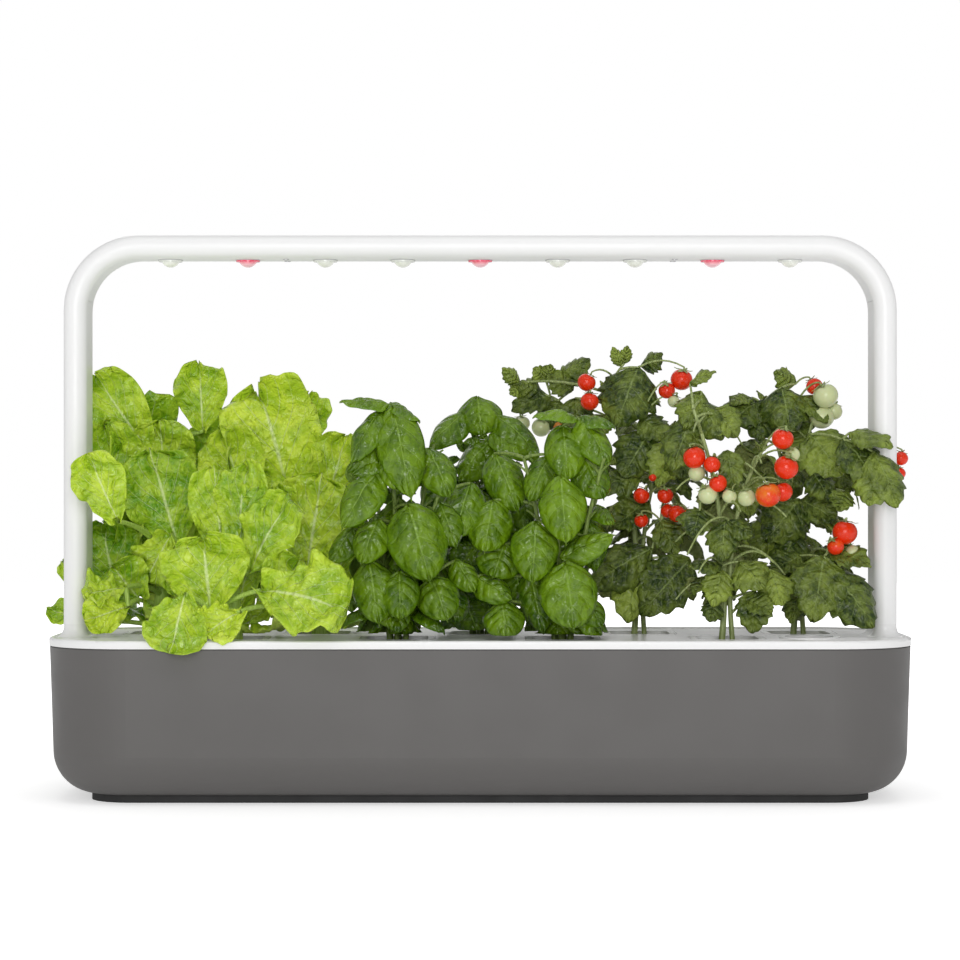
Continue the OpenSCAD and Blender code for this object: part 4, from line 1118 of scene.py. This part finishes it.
class GARDEN_OT_lettuces(bpy.types.Operator):
    """Grows the three lettuces"""

    bl_idname = "garden.lettuces"
    bl_label = "Grow the lettuces"

    def execute(self, context):
        look = context.scene.garden
        rib = (0.8, 0.92, 0.46)
        upper = blade_finish(
            "lettuce_upper", (0.12, 0.32, 0.002), (0.64, 0.82, 0.05), rib, (0.6, 0.82, 0.06),
            veins=5.0, lean=3.2, vein_share=0.6, stout=0.05,
            roughness=0.26, shine=0.55, grain=0.0005, crumple=0.0045,
        )
        under = blade_finish(
            "lettuce_under", (0.34, 0.54, 0.03), (0.74, 0.88, 0.2), rib, (0.66, 0.84, 0.14),
            veins=5.0, lean=3.2, vein_share=0.5, stout=0.08,
            roughness=0.4, shine=0.3, grain=0.0006, crumple=0.0032,
        )
        stalk = stalk_finish("lettuce_stalk", (0.34, 0.52, 0.06), (0.5, 0.68, 0.16))
        for n in LETTUCES:
            grow_lettuce(n, look, upper, under, stalk)
        return {"FINISHED"}


class GARDEN_OT_basils(bpy.types.Operator):
    """Grows the three basils"""

    bl_idname = "garden.basils"
    bl_label = "Grow the basils"

    def execute(self, context):
        look = context.scene.garden
        rib = (0.28, 0.45, 0.06)
        upper = blade_finish(
            "basil_upper", (0.02, 0.072, 0.001), (0.19, 0.33, 0.005), rib, (0.13, 0.27, 0.006),
            veins=4.2, lean=1.1, vein_share=0.35, stout=0.04,
            roughness=0.22, shine=0.48, grain=0.0003, crumple=0.0026, quilt=0.0005,
        )
        under = blade_finish(
            "basil_under", (0.1, 0.19, 0.02), (0.26, 0.38, 0.07), rib, (0.22, 0.34, 0.05),
            veins=4.2, lean=1.1, vein_share=0.4, stout=0.07,
            roughness=0.5, shine=0.25, grain=0.0004, crumple=0.002, quilt=0.0005,
        )
        stalk = stalk_finish("basil_stalk", (0.1, 0.16, 0.02), (0.26, 0.36, 0.08))
        for n in BASILS:
            grow_basil(n, look, upper, under, stalk)
        return {"FINISHED"}


class GARDEN_OT_tomatoes(bpy.types.Operator):
    """Grows the three dwarf tomatoes with their fruit"""

    bl_idname = "garden.tomatoes"
    bl_label = "Grow the tomatoes"

    def execute(self, context):
        look = context.scene.garden
        rib = (0.27, 0.36, 0.1)
        upper = blade_finish(
            "tomato_upper", (0.018, 0.042, 0.003), (0.3, 0.39, 0.055), rib, (0.09, 0.14, 0.012),
            veins=5.0, lean=1.1, vein_share=0.5, stout=0.045,
            roughness=0.34, shine=0.4, grain=0.0004, crumple=0.004, quilt=0.0006,
        )
        under = blade_finish(
            "tomato_under", (0.12, 0.15, 0.035), (0.34, 0.38, 0.14), rib, (0.22, 0.27, 0.07),
            veins=5.0, lean=1.1, vein_share=0.5, stout=0.07,
            roughness=0.6, shine=0.22, grain=0.0005, crumple=0.0016, quilt=0.0006,
        )
        stalk = stalk_finish("tomato_stalk", (0.18, 0.24, 0.06), (0.42, 0.5, 0.2))
        skin = fruit_finish("fruit_skin")
        for n in TOMATOES:
            grow_tomato(n, look, upper, under, stalk, skin)
        return {"FINISHED"}


class GARDEN_OT_stage(bpy.types.Operator):
    """Sets the floor, the plain light, the white surroundings and the camera"""

    bl_idname = "garden.stage"
    bl_label = "Set the stage"

    def execute(self, context):
        scene = context.scene
        level = scene.garden.lamp_level
        bm = bmesh.new()
        bmesh.ops.create_grid(bm, x_segments=1, y_segments=1, size=4.0)
        floor = body_with("floor", bm)
        f = Finish("floor_white", 0.8)
        away = f.node("ShaderNodeVectorMath", {0: f.place}, operation="LENGTH").outputs["Value"]
        seen = f.node("ShaderNodeLightPath").outputs["Is Camera Ray"]
        glow = f.calc("MULTIPLY", f.calc("MAXIMUM", seen, 0.5), f.spread(away, 0.3, 0.9, 0.5, 1.0))
        f.wear(Base_Color=f.blend(f.noise(4.0), (0.88, 0.88, 0.88), (0.9, 0.9, 0.9)),
               Emission_Color=(1, 1, 1, 1), Emission_Strength=glow)
        floor.data.materials.append(f.material)
        for name, place, size, power, aim in (
            ("light_above", (0.0, -0.5, 1.9), 1.4, 6.5, (0, 0, 0.1)),
            ("light_front", (0.0, -2.6, 0.7), 1.0, 20.0, (0, 0, 0.2)),
            ("light_back", (0.0, 1.9, 1.3), 1.6, 6.0, (0, 0, 0.2)),
        ):
            light = bpy.data.lights.new(name, "AREA")
            light.shape = "SQUARE"
            light.size = size
            light.energy = power * level
            lamp = bpy.data.objects.new(name, light)
            lamp.location = place
            lamp.rotation_euler = (Vector(aim) - Vector(place)).to_track_quat("-Z", "Y").to_euler()
            scene.collection.objects.link(lamp)
        world = bpy.data.worlds.new("surroundings")
        scene.world = world
        w = Nodes(world)
        ray = w.node("ShaderNodeLightPath").outputs
        seen = w.calc("MAXIMUM", ray["Is Camera Ray"], ray["Is Transmission Ray"])
        range_in = {"Value": seen, "To Min": 0.44 * level, "To Max": 1.0}
        strength = w.node("ShaderNodeMapRange", range_in).outputs[0]
        back = w.node("ShaderNodeBackground", {"Color": (1, 1, 1, 1), "Strength": strength})
        w.node("ShaderNodeOutputWorld", {"Surface": back.outputs[0]})
        eye = bpy.data.cameras.new("camera")
        eye.lens = EYE_LENS
        eye.sensor_width = EYE_SENSOR
        eye.shift_x, eye.shift_y = EYE_SHIFT
        camera = bpy.data.objects.new("camera", eye)
        camera.location = (0.0, -EYE_AWAY * MM, EYE_UP * MM)
        camera.rotation_euler = (math.pi / 2, 0.0, 0.0)
        scene.collection.objects.link(camera)
        scene.camera = camera
        scene.view_settings.view_transform = "Standard"
        return {"FINISHED"}


class GARDEN_PT_panel(bpy.types.Panel):
    """Holds the garden's settings and its steps in order"""

    bl_idname = "GARDEN_PT_panel"
    bl_label = "Garden"
    bl_space_type = "VIEW_3D"
    bl_region_type = "UI"
    bl_category = "Garden"

    def draw(self, context):
        look = context.scene.garden
        column = self.layout.column()
        for name in GardenLook.__annotations__:
            column.prop(look, name)
        for step in STEPS:
            column.operator(step.bl_idname)


STEPS = (
    GARDEN_OT_tank,
    GARDEN_OT_tray,
    GARDEN_OT_lamp,
    GARDEN_OT_soil,
    GARDEN_OT_lettuces,
    GARDEN_OT_basils,
    GARDEN_OT_tomatoes,
    GARDEN_OT_stage,
)


def register():
    for kind in (GardenLook, *STEPS, GARDEN_PT_panel):
        bpy.utils.register_class(kind)
    bpy.types.Scene.garden = bpy.props.PointerProperty(type=GardenLook)


def unregister():
    del bpy.types.Scene.garden
    for kind in reversed((GardenLook, *STEPS, GARDEN_PT_panel)):
        bpy.utils.unregister_class(kind)


def main():
    register()
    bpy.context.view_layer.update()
    bpy.ops.garden.tank()
    bpy.ops.garden.tray()
    bpy.ops.garden.lamp()
    bpy.ops.garden.soil()
    bpy.ops.garden.lettuces()
    bpy.ops.garden.basils()
    bpy.ops.garden.tomatoes()
    bpy.ops.garden.stage()


if __name__ == "__main__":
    main()
